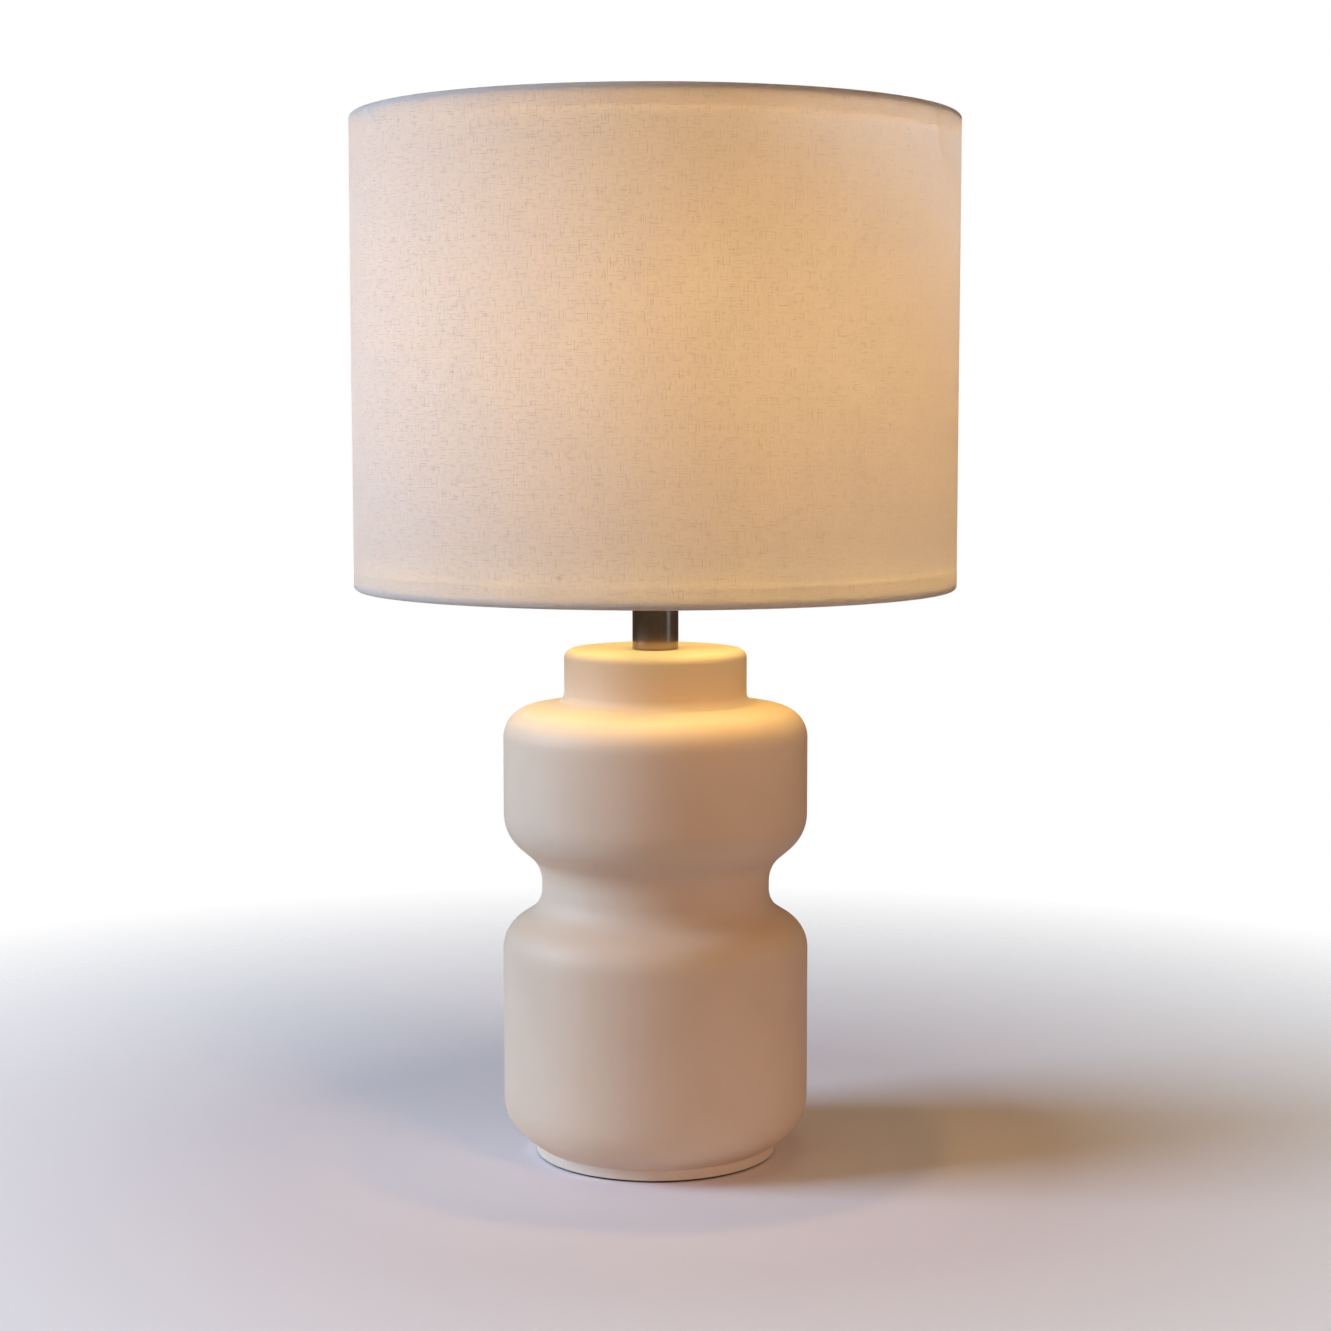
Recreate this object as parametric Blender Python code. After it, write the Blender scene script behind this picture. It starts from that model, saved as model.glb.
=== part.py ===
"""Table lamp: a hollow ceramic body on a felt ring, a metal neck, a screw socket with a turn switch,
a wire harp, a bulb, and a drum shade of fabric over a stiff liner.

Sizes are in millimetres, and each mesh is turned into metres as it is made. +Z is up, +X is the
lamp's right and +Y is its back. The origin is the middle of the face that it stands on.
"""

import math

import bmesh
import bpy
from mathutils import Matrix, Vector
from mathutils.geometry import interpolate_bezier

MM = 0.001
GAP = 0.3  # between two pieces that touch
FREE = 0.4  # round a shaft or a spigot inside its hole

# The ceramic body. A corner is its height over the foot, then its rounding.
FELT_THICKNESS = 1.5
FELT_INSET = 1.0
FOOT_RADIUS = 66.8
FOOT_RIM = 9.0
FOOT_RECESS = 14.5
FOOT_ROUNDING = 0.8
FOOT_HEIGHT = 3.6
LOWER_RADIUS = 84.7
LOWER_EDGE = (17.1, 26.3)
LOWER_SHOULDER = (124.5, 19.5)
WAIST_RADIUS = 63.1
WAIST_FOOT = (138.4, 15.0)
WAIST_TOP = (160.2, 19.5)
UPPER_RADIUS = 84.1
UPPER_EDGE = (178.4, 24.0)
UPPER_SHOULDER = (245.7, 16.5)
COLLAR_RADIUS = 50.4
COLLAR_FOOT = (251.4, 6.0)
COLLAR_TOP = (280.3, 4.7)
WALL = 6.0
FLOOR_HOLE_RADIUS = 28.0

# The pipe that clamps the body together, and the pieces on it.
PIPE_RADIUS = 5.1
PIPE_BORE = 3.5
PIPE_TAIL = 1.6  # below the nut
BASE_PLATE_RADIUS = 42.0
BASE_PLATE_THICKNESS = 2.0
CORD_HOLE_RADIUS = 4.5
CORD_HOLE_Y = 18.0
WASHER_RADIUS = 9.5
WASHER_THICKNESS = 1.0
NUT_ACROSS_FLATS = 14.3
NUT_THICKNESS = 4.0
NECK_RADIUS = 12.7
NECK_WALL = 1.0
NECK_HEIGHT = 48.8
BUSH_SPIGOT_RADIUS = 9.3
BUSH_SPIGOT = 5.0
BUSH_HEIGHT = 8.0
NECK_CAP_THICKNESS = 2.0
NECK_CAP_SPIGOT = 5.0
SADDLE_NUT_RADIUS = 8.5
SADDLE_NUT_THICKNESS = 3.2

# The grommet of the cord's way out, at the back of the body.
GROMMET_Z = 36.0
GROMMET_RADIUS = 4.9
GROMMET_BORE = 3.4
GROMMET_FLANGE_RADIUS = 7.5
GROMMET_FLANGE = 2.0
GROMMET_PLAY = 1.0  # from the wall's inner face to the inner flange

# The saddle, the harp and its swivel.
SADDLE_THICKNESS = 1.6
SADDLE_WIDTH = 13.0
SADDLE_HALF_SPAN = 29.0
SADDLE_BEND = 11.0
SADDLE_ARM_HEIGHT = 34.0
TAB_WIDTH = 4.0
TAB_HEIGHT = 9.0
HARP_WIRE_RADIUS = 1.5
HARP_HEIGHT = 215.9  # from the saddle's underside to the seat that the shade rests on
HARP_HALF_WIDTH = 54.0
HARP_BELLY = 62.0  # from the top of a straight leg up to the widest place
HARP_FOOT_LIFT = 1.0
SLEEVE_LENGTH = 15.0
SLEEVE_TRAVEL = 12.0
SLEEVE_WALL = 0.7
EYE_RADIUS = 7.0
EYE_THICKNESS = 3.6
STUD_RADIUS = 3.05
STUD_HEIGHT = 12.0
STUD_NECK_RADIUS = 2.4
STUD_FLANGE_RADIUS = 6.5
STUD_FLANGE = 1.4
RIVET_RADIUS = 4.6
RIVET_HEIGHT = 2.0
FINIAL_RADIUS = 7.5
FINIAL_HEIGHT = 17.0
FINIAL_FOOT_RADIUS = 5.2

# The socket. Its radii follow from the bulb's screw cap, from the inside out.
LAMP_CAP_RADIUS = 13.0
SCREW_SHELL_WALL = 0.6
INTERIOR_SHOULDER = 0.9  # outside the screw shell
SOCKET_LINER_WALL = 0.6
SOCKET_METAL = 0.6
HUB_RADIUS = 8.0
HUB_HEIGHT = 8.0
SOCKET_CAP_HEIGHT = 21.5
SHELL_HEIGHT = 42.0
SHELL_OVERLAP = 5.0  # inside the cap
SOCKET_LINER_MARGIN = 1.0
INTERIOR_LIFT = 8.0  # over the shell's lower edge
INTERIOR_HEIGHT = 14.0
SCREW_SHELL_MARGIN = 3.0  # below the shell's upper edge
SCREW_SHELL_LIP = 3.5
CONTACT_RADIUS = 5.0
CONTACT_THICKNESS = 0.5
CONTACT_LIFT = 1.8  # from the contact up to the bulb's tip
PIPE_IN_SOCKET = 10.0
SET_SCREW_RADIUS = 1.5
SET_SCREW_LENGTH = 6.0
TERMINAL_X = 8.0
TERMINAL_HEAD_RADIUS = 3.0
TERMINAL_HEAD = 2.0
TERMINAL_SHANK_RADIUS = 1.3
TERMINAL_SHANK = 5.0

# The turn switch, at the front.
SPINDLE_RADIUS = 1.6
SPINDLE_LIFT = 7.0  # over the interior's underside
SPINDLE_DEPTH = 6.0  # inside the interior
SPINDLE_SLACK = 0.9  # round the spindle in the shell
KNOB_STANDOFF = 10.0
KNOB_LENGTH = 12.0
KNOB_WIDTH = 15.0
KNOB_THICKNESS = 7.0
KNOB_BORE_DEPTH = 8.0
KNOB_EDGE = 0.8

# The bulb, from its tip up.
BULB_LENGTH = 108.0
BULB_RADIUS = 30.0
BULB_WALL = 1.2
BULB_SEAM = 60.0  # where the globe meets its housing
TIP_RADIUS = 4.6
TIP_HEIGHT = 1.2
INSULATOR_RADIUS = 9.0
INSULATOR_HEIGHT = 3.0
LAMP_CAP_HEIGHT = 23.0
LAMP_CAP_WALL = 0.6
HOUSING_WALL = 1.5
HOUSING_PLUG = 8.0  # inside the lamp cap
HOUSING_NECK_RADIUS = 15.0
HOUSING_NECK = 9.0
HOUSING_LIP = 1.5
LED_BOARD_THICKNESS = 1.6
LED_BOARD_DROP = 3.0  # below the seam

# The shade.
SHADE_RADIUS = 165.0
SHADE_HEIGHT = 254.0
SHADE_RECESS = 20.0  # from the top edge down to the underside of the spider's washer
FABRIC = 0.6
LINER = 0.6
RING_WIRE_RADIUS = 1.5
HEM_DEPTH = 12.0
SPIDER_ARMS = 3
SPIDER_WASHER_RADIUS = 11.0
SPIDER_WASHER = 1.5
SPIDER_WIRE_RADIUS = 1.5
SPIDER_CRANK = 24.0  # from the ring in to the foot of an arm's crank

SHADE_SEGMENTS = 48
BODY_SEGMENTS = 36
ROUND_SEGMENTS = 24
SMALL_SEGMENTS = 16

# Heights over the table, each worked out from what it stands on.
BODY_Z = FELT_THICKNESS + GAP
BODY_TOP_Z = BODY_Z + COLLAR_TOP[0]
RECESS_Z = BODY_Z + FOOT_RECESS
PLATE_Z = RECESS_Z - GAP - BASE_PLATE_THICKNESS
WASHER_Z = PLATE_Z - GAP - WASHER_THICKNESS
NUT_Z = WASHER_Z - GAP - NUT_THICKNESS
PIPE_Z = NUT_Z - PIPE_TAIL
NECK_Z = BODY_TOP_Z + GAP
NECK_CAP_Z = NECK_Z + NECK_HEIGHT + GAP
SADDLE_Z = NECK_CAP_Z + NECK_CAP_THICKNESS + GAP
SADDLE_NUT_Z = SADDLE_Z + SADDLE_THICKNESS + GAP
SOCKET_Z = SADDLE_NUT_Z + SADDLE_NUT_THICKNESS + GAP
SHELL_Z = SOCKET_Z + SOCKET_CAP_HEIGHT - SHELL_OVERLAP
SHELL_TOP_Z = SHELL_Z + SHELL_HEIGHT
INTERIOR_Z = SHELL_Z + INTERIOR_LIFT
CONTACT_Z = INTERIOR_Z + INTERIOR_HEIGHT + GAP
BULB_Z = CONTACT_Z + CONTACT_THICKNESS + CONTACT_LIFT
SPINDLE_Z = INTERIOR_Z + SPINDLE_LIFT
SEAT_Z = SADDLE_Z + HARP_HEIGHT
EYE_Z = SEAT_Z - STUD_FLANGE - GAP - EYE_THICKNESS
ARM_TOP_Z = SADDLE_Z + SADDLE_ARM_HEIGHT
SLEEVE_Z = ARM_TOP_Z - TAB_HEIGHT + GAP
SPIDER_Z = SEAT_Z + GAP
FINIAL_Z = SPIDER_Z + SPIDER_WASHER + GAP
SHADE_TOP_Z = SPIDER_Z + SHADE_RECESS
SHADE_Z = SHADE_TOP_Z - SHADE_HEIGHT

# Radii and places that fit one piece to another.
PIPE_HOLE = PIPE_RADIUS + FREE
NECK_BORE = NECK_RADIUS - NECK_WALL
NECK_SPIGOT = NECK_BORE - FREE
TAB_OUTSIDE = SADDLE_HALF_SPAN + SADDLE_THICKNESS / 2
HARP_LEG_X = TAB_OUTSIDE + GAP + HARP_WIRE_RADIUS
SLEEVE_X = (TAB_OUTSIDE - SADDLE_THICKNESS + HARP_LEG_X + HARP_WIRE_RADIUS) / 2
SLEEVE_BORE = GAP + math.hypot(SLEEVE_X - TAB_OUTSIDE + SADDLE_THICKNESS, TAB_WIDTH / 2)
STUD_HOLE = STUD_RADIUS + FREE
SCREW_SHELL_BORE = LAMP_CAP_RADIUS + GAP
INTERIOR_RADIUS = SCREW_SHELL_BORE + SCREW_SHELL_WALL + INTERIOR_SHOULDER
SOCKET_LINER_RADIUS = INTERIOR_RADIUS + GAP + SOCKET_LINER_WALL
SHELL_RADIUS = SOCKET_LINER_RADIUS + GAP + SOCKET_METAL
SOCKET_RADIUS = SHELL_RADIUS + GAP + SOCKET_METAL
BULB_CENTRE = BULB_LENGTH - BULB_RADIUS
SEAM_RADIUS = math.sqrt(BULB_RADIUS**2 - (BULB_CENTRE - BULB_SEAM) ** 2)
LINER_RADIUS = SHADE_RADIUS - FABRIC - GAP
RING_RADIUS = LINER_RADIUS - RING_WIRE_RADIUS
RING_INSET = FABRIC + GAP + RING_WIRE_RADIUS  # from the shade's edge to the middle of its ring


def make_material(name, colour, roughness, metallic=0.0):
    made = bpy.data.materials.new(name)
    made.use_nodes = True
    shader = made.node_tree.nodes["Principled BSDF"]
    shader.inputs["Base Color"].default_value = (*colour, 1.0)
    shader.inputs["Roughness"].default_value = roughness
    shader.inputs["Metallic"].default_value = metallic
    return made


# Outlines: lists of (radius, height) or (x, z) points.


def rounded(corners, steps):
    """A closed outline whose corners (r, z, rounding) are arcs, with steps to a right angle."""
    points = []
    for i, (r, z, rounding) in enumerate(corners):
        here = Vector((r, z))
        before = (Vector(corners[i - 1][:2]) - here).normalized()
        after = (Vector(corners[(i + 1) % len(corners)][:2]) - here).normalized()
        half = before.angle(after) / 2
        if rounding <= 0:
            points.append((r, z))
            continue
        centre = here + (before + after).normalized() * (rounding / math.sin(half))
        start = here + before * (rounding / math.tan(half)) - centre
        turn = math.pi - 2 * half
        count = max(1, round(steps * turn / (math.pi / 2)))
        side = math.copysign(1, before.cross(after))
        for k in range(count + 1):
            points.append(tuple(centre + Matrix.Rotation(-side * turn * k / count, 2) @ start))
    return points


def inset(corners, wall):
    """The same corners moved in by a wall, to the left of the way that they run."""
    moved = []
    for before, here, after in zip(corners, corners[1:], corners[2:]):
        come = (Vector(here[:2]) - Vector(before[:2])).normalized()
        go = (Vector(after[:2]) - Vector(here[:2])).normalized()
        left = Vector((-come.y, come.x))
        next_left = Vector((-go.y, go.x))
        place = Vector(here[:2]) + (left + next_left) * (wall / (1 + left.dot(next_left)))
        rounding = here[2] - math.copysign(wall, come.cross(go))
        moved.append((*place, max(0.0, rounding)))
    return moved


def strip(path, thickness):
    """A closed outline: an open path, and the same path one thickness to its left."""
    ends = [(*(2 * Vector(path[0]) - Vector(path[1])), 0), (*(2 * Vector(path[-1]) - Vector(path[-2])), 0)]
    whole = [ends[0], *[(*point, 0) for point in path], ends[1]]
    return list(path) + [point[:2] for point in reversed(inset(whole, thickness))]


def ring(inner, outer, low, high):
    return [(inner, low), (outer, low), (outer, high), (inner, high)]


def disc(radius, low, high):
    return [(0, low), (radius, low), (radius, high), (0, high)]


def arc(centre_z, radius, first, last, steps):
    """Points on an arc about the axis point at centre_z, from one latitude in degrees to another."""
    angles = [math.radians(first + (last - first) * k / steps) for k in range(steps + 1)]
    return [(radius * math.cos(a), centre_z + radius * math.sin(a)) for a in angles]


# Meshes and objects.


def finished(name, build):
    mesh = bpy.data.meshes.new(name)
    bmesh.ops.recalc_face_normals(build, faces=build.faces)
    build.to_mesh(mesh)
    build.free()
    mesh.shade_smooth()
    mesh.set_sharp_from_angle(angle=math.radians(35))
    return mesh


def turned(name, outline, segments=ROUND_SEGMENTS):
    """A closed outline turned about Z. The sides of it that lie on the axis are left out."""
    build = bmesh.new()
    points = [build.verts.new((r * MM, 0, z * MM)) for r, z in outline]
    sides = zip(points, points[1:] + points[:1])
    edges = [build.edges.new(pair) for pair in sides if pair[0].co.x > 0 or pair[1].co.x > 0]
    bmesh.ops.spin(
        build,
        geom=points + edges,
        axis=(0, 0, 1),
        cent=(0, 0, 0),
        angle=math.tau,
        steps=segments,
        use_merge=True,
    )
    bmesh.ops.remove_doubles(build, verts=build.verts, dist=1e-6)
    return finished(name, build)


def prism(name, outline, depth):
    """A closed outline of (x, z) points, carried along Y to half a depth on each side."""
    build = bmesh.new()
    points = [build.verts.new((x * MM, -depth / 2 * MM, z * MM)) for x, z in outline]
    face = build.faces.new(points)
    grown = bmesh.ops.extrude_face_region(build, geom=[face])["geom"]
    far = [item for item in grown if isinstance(item, bmesh.types.BMVert)]
    bmesh.ops.translate(build, verts=far, vec=(0, depth * MM, 0))
    return finished(name, build)


def wire(name, points, radius, closed=False):
    """A round wire along a row of points."""
    path = bpy.data.curves.new(name, "CURVE")
    path.dimensions = "3D"
    path.bevel_depth = radius * MM
    path.bevel_resolution = 2
    path.use_fill_caps = True
    line = path.splines.new("POLY")
    line.points.add(len(points) - 1)
    line.use_cyclic_u = closed
    for knot, point in zip(line.points, points):
        knot.co = (*(Vector(point) * MM), 1)
    guide = bpy.data.objects.new(name, path)
    build = bmesh.new()
    build.from_mesh(guide.to_mesh())
    guide.to_mesh_clear()
    bpy.data.objects.remove(guide)
    bmesh.ops.remove_doubles(build, verts=build.verts, dist=1e-6)
    return finished(name, build)


def place(mesh, finish, at=(0, 0, 0), body=None, rotation=(0, 0, 0)):
    """An object of a mesh, at its place in the lamp, that follows its body's empty."""
    piece = bpy.data.objects.new(mesh.name, mesh)
    bpy.context.scene.collection.objects.link(piece)
    piece.location = Vector(at) * MM
    piece.rotation_euler = rotation
    if finish:
        mesh.materials.append(finish)
    if body:
        piece.parent = body
        piece.matrix_parent_inverse = body.matrix_world.inverted()
    return piece


def helper(mesh, at=(0, 0, 0), rotation=(0, 0, 0)):
    """A shape that only cuts or joins, and is never seen itself."""
    tool = place(mesh, None, at, None, rotation)
    tool.hide_render = True
    tool.display_type = "WIRE"
    return tool


def combine(piece, operation, *tools):
    for tool in tools:
        modifier = piece.modifiers.new(tool.name, "BOOLEAN")
        modifier.operation = operation
        modifier.object = tool


def joint_at(name, at, parent=None):
    """The empty of a moving body, on its joint's axis."""
    empty = bpy.data.objects.new(name, None)
    bpy.context.scene.collection.objects.link(empty)
    empty.location = Vector(at) * MM
    if parent:
        empty.parent = parent
        empty.matrix_parent_inverse = parent.matrix_world.inverted()
    bpy.context.view_layer.update()
    return empty


TO_BACK = (-math.pi / 2, 0, 0)  # turns +Z to +Y
TO_FRONT = (math.pi / 2, 0, 0)  # turns +Z to -Y


def make_ceramic(finish):
    outside = [
        (FOOT_RADIUS, FOOT_HEIGHT, 0),
        (LOWER_RADIUS, *LOWER_EDGE),
        (LOWER_RADIUS, *LOWER_SHOULDER),
        (WAIST_RADIUS, *WAIST_FOOT),
        (WAIST_RADIUS, *WAIST_TOP),
        (UPPER_RADIUS, *UPPER_EDGE),
        (UPPER_RADIUS, *UPPER_SHOULDER),
        (COLLAR_RADIUS, *COLLAR_FOOT),
        (COLLAR_RADIUS, *COLLAR_TOP),
        (BUSH_SPIGOT_RADIUS + FREE, COLLAR_TOP[0], 0),
    ]
    rim_inside = FOOT_RADIUS - FOOT_RIM
    floor_top = FOOT_RECESS + WALL
    inside = inset(outside, WALL)[1:]  # without the lower edge, where the floor is instead
    inside.reverse()
    inside += [
        (LOWER_RADIUS - WALL, floor_top, WALL),
        (FLOOR_HOLE_RADIUS, floor_top, 0),
        (FLOOR_HOLE_RADIUS, FOOT_RECESS, 0),
        (rim_inside, FOOT_RECESS, 0),
        (rim_inside, 0, 0),
    ]
    neck_hole = (BUSH_SPIGOT_RADIUS + FREE, COLLAR_TOP[0] - WALL, 0)
    outer = rounded([(FOOT_RADIUS, 0, FOOT_ROUNDING), *outside, inside[-1]], steps=5)
    inner = rounded([outside[-1], neck_hole, *inside], steps=2)
    body = place(turned("ceramic_body", outer[:-1] + inner[1:], BODY_SEGMENTS), finish, (0, 0, BODY_Z))
    hole = turned("grommet_hole", disc(GROMMET_RADIUS + GAP, WALL, LOWER_RADIUS + WALL), SMALL_SEGMENTS)
    combine(body, "DIFFERENCE", helper(hole, (0, 0, GROMMET_Z), TO_BACK))


def make_base(finishes):
    felt = ring(FOOT_RADIUS - FOOT_RIM, FOOT_RADIUS - FELT_INSET, 0, FELT_THICKNESS)
    place(turned("felt_ring", felt, BODY_SEGMENTS), finishes["felt"])
    make_ceramic(finishes["ceramic"])
    plate = place(
        turned("base_plate", ring(PIPE_HOLE, BASE_PLATE_RADIUS, 0, BASE_PLATE_THICKNESS)),
        finishes["zinc"],
        (0, 0, PLATE_Z),
    )
    cord_hole = disc(CORD_HOLE_RADIUS, -BASE_PLATE_THICKNESS, 2 * BASE_PLATE_THICKNESS)
    combine(
        plate,
        "DIFFERENCE",
        helper(turned("cord_hole", cord_hole, SMALL_SEGMENTS), (0, CORD_HOLE_Y, PLATE_Z)),
    )
    washer = ring(PIPE_HOLE, WASHER_RADIUS, 0, WASHER_THICKNESS)
    place(turned("base_washer", washer, SMALL_SEGMENTS), finishes["zinc"], (0, 0, WASHER_Z))
    corner = NUT_ACROSS_FLATS / math.sqrt(3)
    nut = place(
        turned("base_nut", disc(corner, 0, NUT_THICKNESS), 6),
        finishes["brass"],
        (0, 0, NUT_Z),
    )
    nut_hole = disc(PIPE_HOLE, -NUT_THICKNESS, 2 * NUT_THICKNESS)
    combine(nut, "DIFFERENCE", helper(turned("nut_hole", nut_hole, SMALL_SEGMENTS), (0, 0, NUT_Z)))
    pipe = ring(PIPE_BORE, PIPE_RADIUS, 0, SOCKET_Z + PIPE_IN_SOCKET - PIPE_Z)
    place(turned("lamp_pipe", pipe, SMALL_SEGMENTS), finishes["zinc"], (0, 0, PIPE_Z))
    inner_flange = LOWER_RADIUS - WALL - GROMMET_PLAY
    outer_flange = LOWER_RADIUS + GAP
    grommet = [
        (GROMMET_BORE, inner_flange - GROMMET_FLANGE),
        (GROMMET_FLANGE_RADIUS - 1, inner_flange - GROMMET_FLANGE),
        (GROMMET_FLANGE_RADIUS - 1, inner_flange),
        (GROMMET_RADIUS, inner_flange),
        (GROMMET_RADIUS, outer_flange),
        (GROMMET_FLANGE_RADIUS, outer_flange),
        (GROMMET_FLANGE_RADIUS - 1, outer_flange + GROMMET_FLANGE),
        (GROMMET_BORE, outer_flange + GROMMET_FLANGE),
    ]
    place(
        turned("cord_grommet", grommet, SMALL_SEGMENTS),
        finishes["rubber"],
        (0, 0, GROMMET_Z),
        None,
        TO_BACK,
    )


def make_neck(finishes):
    bush = [
        (PIPE_HOLE, -GAP - BUSH_SPIGOT),
        (BUSH_SPIGOT_RADIUS, -GAP - BUSH_SPIGOT),
        (BUSH_SPIGOT_RADIUS, 0),
        (NECK_SPIGOT, 0),
        (NECK_SPIGOT, BUSH_HEIGHT),
        (PIPE_HOLE, BUSH_HEIGHT),
    ]
    place(turned("neck_bush", bush), finishes["brass"], (0, 0, NECK_Z))
    tube = ring(NECK_BORE, NECK_RADIUS, 0, NECK_HEIGHT)
    place(turned("neck_tube", tube), finishes["dark_nickel"], (0, 0, NECK_Z))
    cap = [
        (PIPE_HOLE, -GAP - NECK_CAP_SPIGOT),
        (NECK_SPIGOT, -GAP - NECK_CAP_SPIGOT),
        (NECK_SPIGOT, 0),
        (NECK_RADIUS, 0),
        (NECK_RADIUS, NECK_CAP_THICKNESS),
        (PIPE_HOLE, NECK_CAP_THICKNESS),
    ]
    place(turned("neck_cap", cap), finishes["dark_nickel"], (0, 0, NECK_CAP_Z))


def make_saddle(finishes):
    middle = SADDLE_THICKNESS / 2
    path = [
        (SADDLE_HALF_SPAN - middle, SADDLE_ARM_HEIGHT),
        (SADDLE_HALF_SPAN - middle, SADDLE_THICKNESS),
        (middle - SADDLE_HALF_SPAN, SADDLE_THICKNESS),
        (middle - SADDLE_HALF_SPAN, SADDLE_ARM_HEIGHT),
    ]
    bends = [(*point, SADDLE_BEND if i in (1, 2) else 0) for i, point in enumerate(path)]
    outline = strip(rounded(bends, steps=4), SADDLE_THICKNESS)
    saddle = place(prism("harp_saddle", outline, SADDLE_WIDTH), finishes["brass"], (0, 0, SADDLE_Z))
    hole = disc(PIPE_HOLE, -SADDLE_THICKNESS, 2 * SADDLE_THICKNESS)
    combine(
        saddle,
        "DIFFERENCE",
        helper(turned("saddle_hole", hole, SMALL_SEGMENTS), (0, 0, SADDLE_Z)),
    )
    reach = SADDLE_HALF_SPAN + SADDLE_WIDTH
    side = [(-reach, 0), (reach, 0), (reach, 2 * TAB_HEIGHT), (-reach, 2 * TAB_HEIGHT)]
    for name, way in (("tab_front", -1), ("tab_back", 1)):
        y = way * (TAB_WIDTH + SADDLE_WIDTH) / 2
        tool = helper(prism(name, side, SADDLE_WIDTH), (0, y, ARM_TOP_Z - TAB_HEIGHT))
        combine(saddle, "DIFFERENCE", tool)
    nut = ring(PIPE_HOLE, SADDLE_NUT_RADIUS, 0, SADDLE_NUT_THICKNESS)
    place(turned("saddle_nut", nut, SMALL_SEGMENTS), finishes["brass"], (0, 0, SADDLE_NUT_Z))


def make_socket(finishes):
    cap_inside = SOCKET_RADIUS - SOCKET_METAL
    flare = SOCKET_CAP_HEIGHT - SHELL_OVERLAP - GAP
    cap = [
        (PIPE_HOLE, 0),
        (HUB_RADIUS, 0),
        (HUB_RADIUS, HUB_HEIGHT - SOCKET_METAL),
        (SOCKET_RADIUS - 3, flare - 5),
        (SOCKET_RADIUS, flare),
        (SOCKET_RADIUS, SOCKET_CAP_HEIGHT),
        (cap_inside, SOCKET_CAP_HEIGHT),
        (cap_inside, flare),
        (cap_inside - 3, flare - 5 + SOCKET_METAL),
        (HUB_RADIUS - SOCKET_METAL, HUB_HEIGHT),
        (PIPE_HOLE, HUB_HEIGHT),
    ]
    socket_cap = place(turned("socket_cap", cap), finishes["brass"], (0, 0, SOCKET_Z))
    screw_z = SOCKET_Z + (HUB_HEIGHT - SOCKET_METAL) / 2
    hole = disc(SET_SCREW_RADIUS + GAP, PIPE_RADIUS - GAP, HUB_RADIUS + SET_SCREW_LENGTH)
    combine(
        socket_cap,
        "DIFFERENCE",
        helper(turned("set_screw_hole", hole, 12), (0, 0, screw_z), TO_BACK),
    )
    screw_start = PIPE_RADIUS + FREE
    screw = disc(SET_SCREW_RADIUS, screw_start, screw_start + SET_SCREW_LENGTH)
    place(turned("socket_set_screw", screw, 12), finishes["zinc"], (0, 0, screw_z), None, TO_BACK)

    shell = ring(SHELL_RADIUS - SOCKET_METAL, SHELL_RADIUS, 0, SHELL_HEIGHT)
    socket_shell = place(turned("socket_shell", shell), finishes["brass"], (0, 0, SHELL_Z))
    liner_height = SHELL_HEIGHT - 2 * SOCKET_LINER_MARGIN
    liner = ring(SOCKET_LINER_RADIUS - SOCKET_LINER_WALL, SOCKET_LINER_RADIUS, 0, liner_height)
    socket_liner = place(
        turned("socket_liner", liner),
        finishes["card"],
        (0, 0, SHELL_Z + SOCKET_LINER_MARGIN),
    )
    through = disc(SPINDLE_RADIUS + SPINDLE_SLACK, INTERIOR_RADIUS - WALL, SOCKET_RADIUS + WALL)
    spindle_way = helper(turned("spindle_way", through, 12), (0, 0, SPINDLE_Z), TO_FRONT)
    combine(socket_shell, "DIFFERENCE", spindle_way)
    combine(socket_liner, "DIFFERENCE", spindle_way)

    interior = place(
        turned("socket_interior", disc(INTERIOR_RADIUS, 0, INTERIOR_HEIGHT)),
        finishes["phenolic"],
        (0, 0, INTERIOR_Z),
    )
    seat = disc(SPINDLE_RADIUS + FREE, INTERIOR_RADIUS - SPINDLE_DEPTH - GAP, SOCKET_RADIUS)
    combine(
        interior,
        "DIFFERENCE",
        helper(turned("spindle_seat", seat, 12), (0, 0, SPINDLE_Z), TO_FRONT),
    )
    terminal = [
        (0, -GAP - TERMINAL_HEAD),
        (TERMINAL_HEAD_RADIUS, -GAP - TERMINAL_HEAD),
        (TERMINAL_HEAD_RADIUS, -GAP),
        (TERMINAL_SHANK_RADIUS, -GAP),
        (TERMINAL_SHANK_RADIUS, TERMINAL_SHANK),
        (0, TERMINAL_SHANK),
    ]
    terminal_hole = disc(TERMINAL_SHANK_RADIUS + FREE, -TERMINAL_SHANK, TERMINAL_SHANK + GAP)
    for side, way, finish in (("live", -1, "brass"), ("neutral", 1, "zinc")):
        at = (way * TERMINAL_X, 0, INTERIOR_Z)
        combine(
            interior,
            "DIFFERENCE",
            helper(turned(f"terminal_hole_{side}", terminal_hole, 12), at),
        )
        place(turned(f"terminal_screw_{side}", terminal, 12), finishes[finish], at)

    contact = disc(CONTACT_RADIUS, 0, CONTACT_THICKNESS)
    place(turned("centre_contact", contact, SMALL_SEGMENTS), finishes["brass"], (0, 0, CONTACT_Z))
    screw_top = SHELL_TOP_Z - SCREW_SHELL_MARGIN - CONTACT_Z
    screw_path = [
        (SCREW_SHELL_BORE + SCREW_SHELL_WALL, screw_top),
        (SCREW_SHELL_BORE + SCREW_SHELL_WALL, 0),
        (SCREW_SHELL_BORE - SCREW_SHELL_LIP, 0),
    ]
    place(
        turned("screw_shell", strip(screw_path, -SCREW_SHELL_WALL)),
        finishes["brass"],
        (0, 0, CONTACT_Z),
    )


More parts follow.
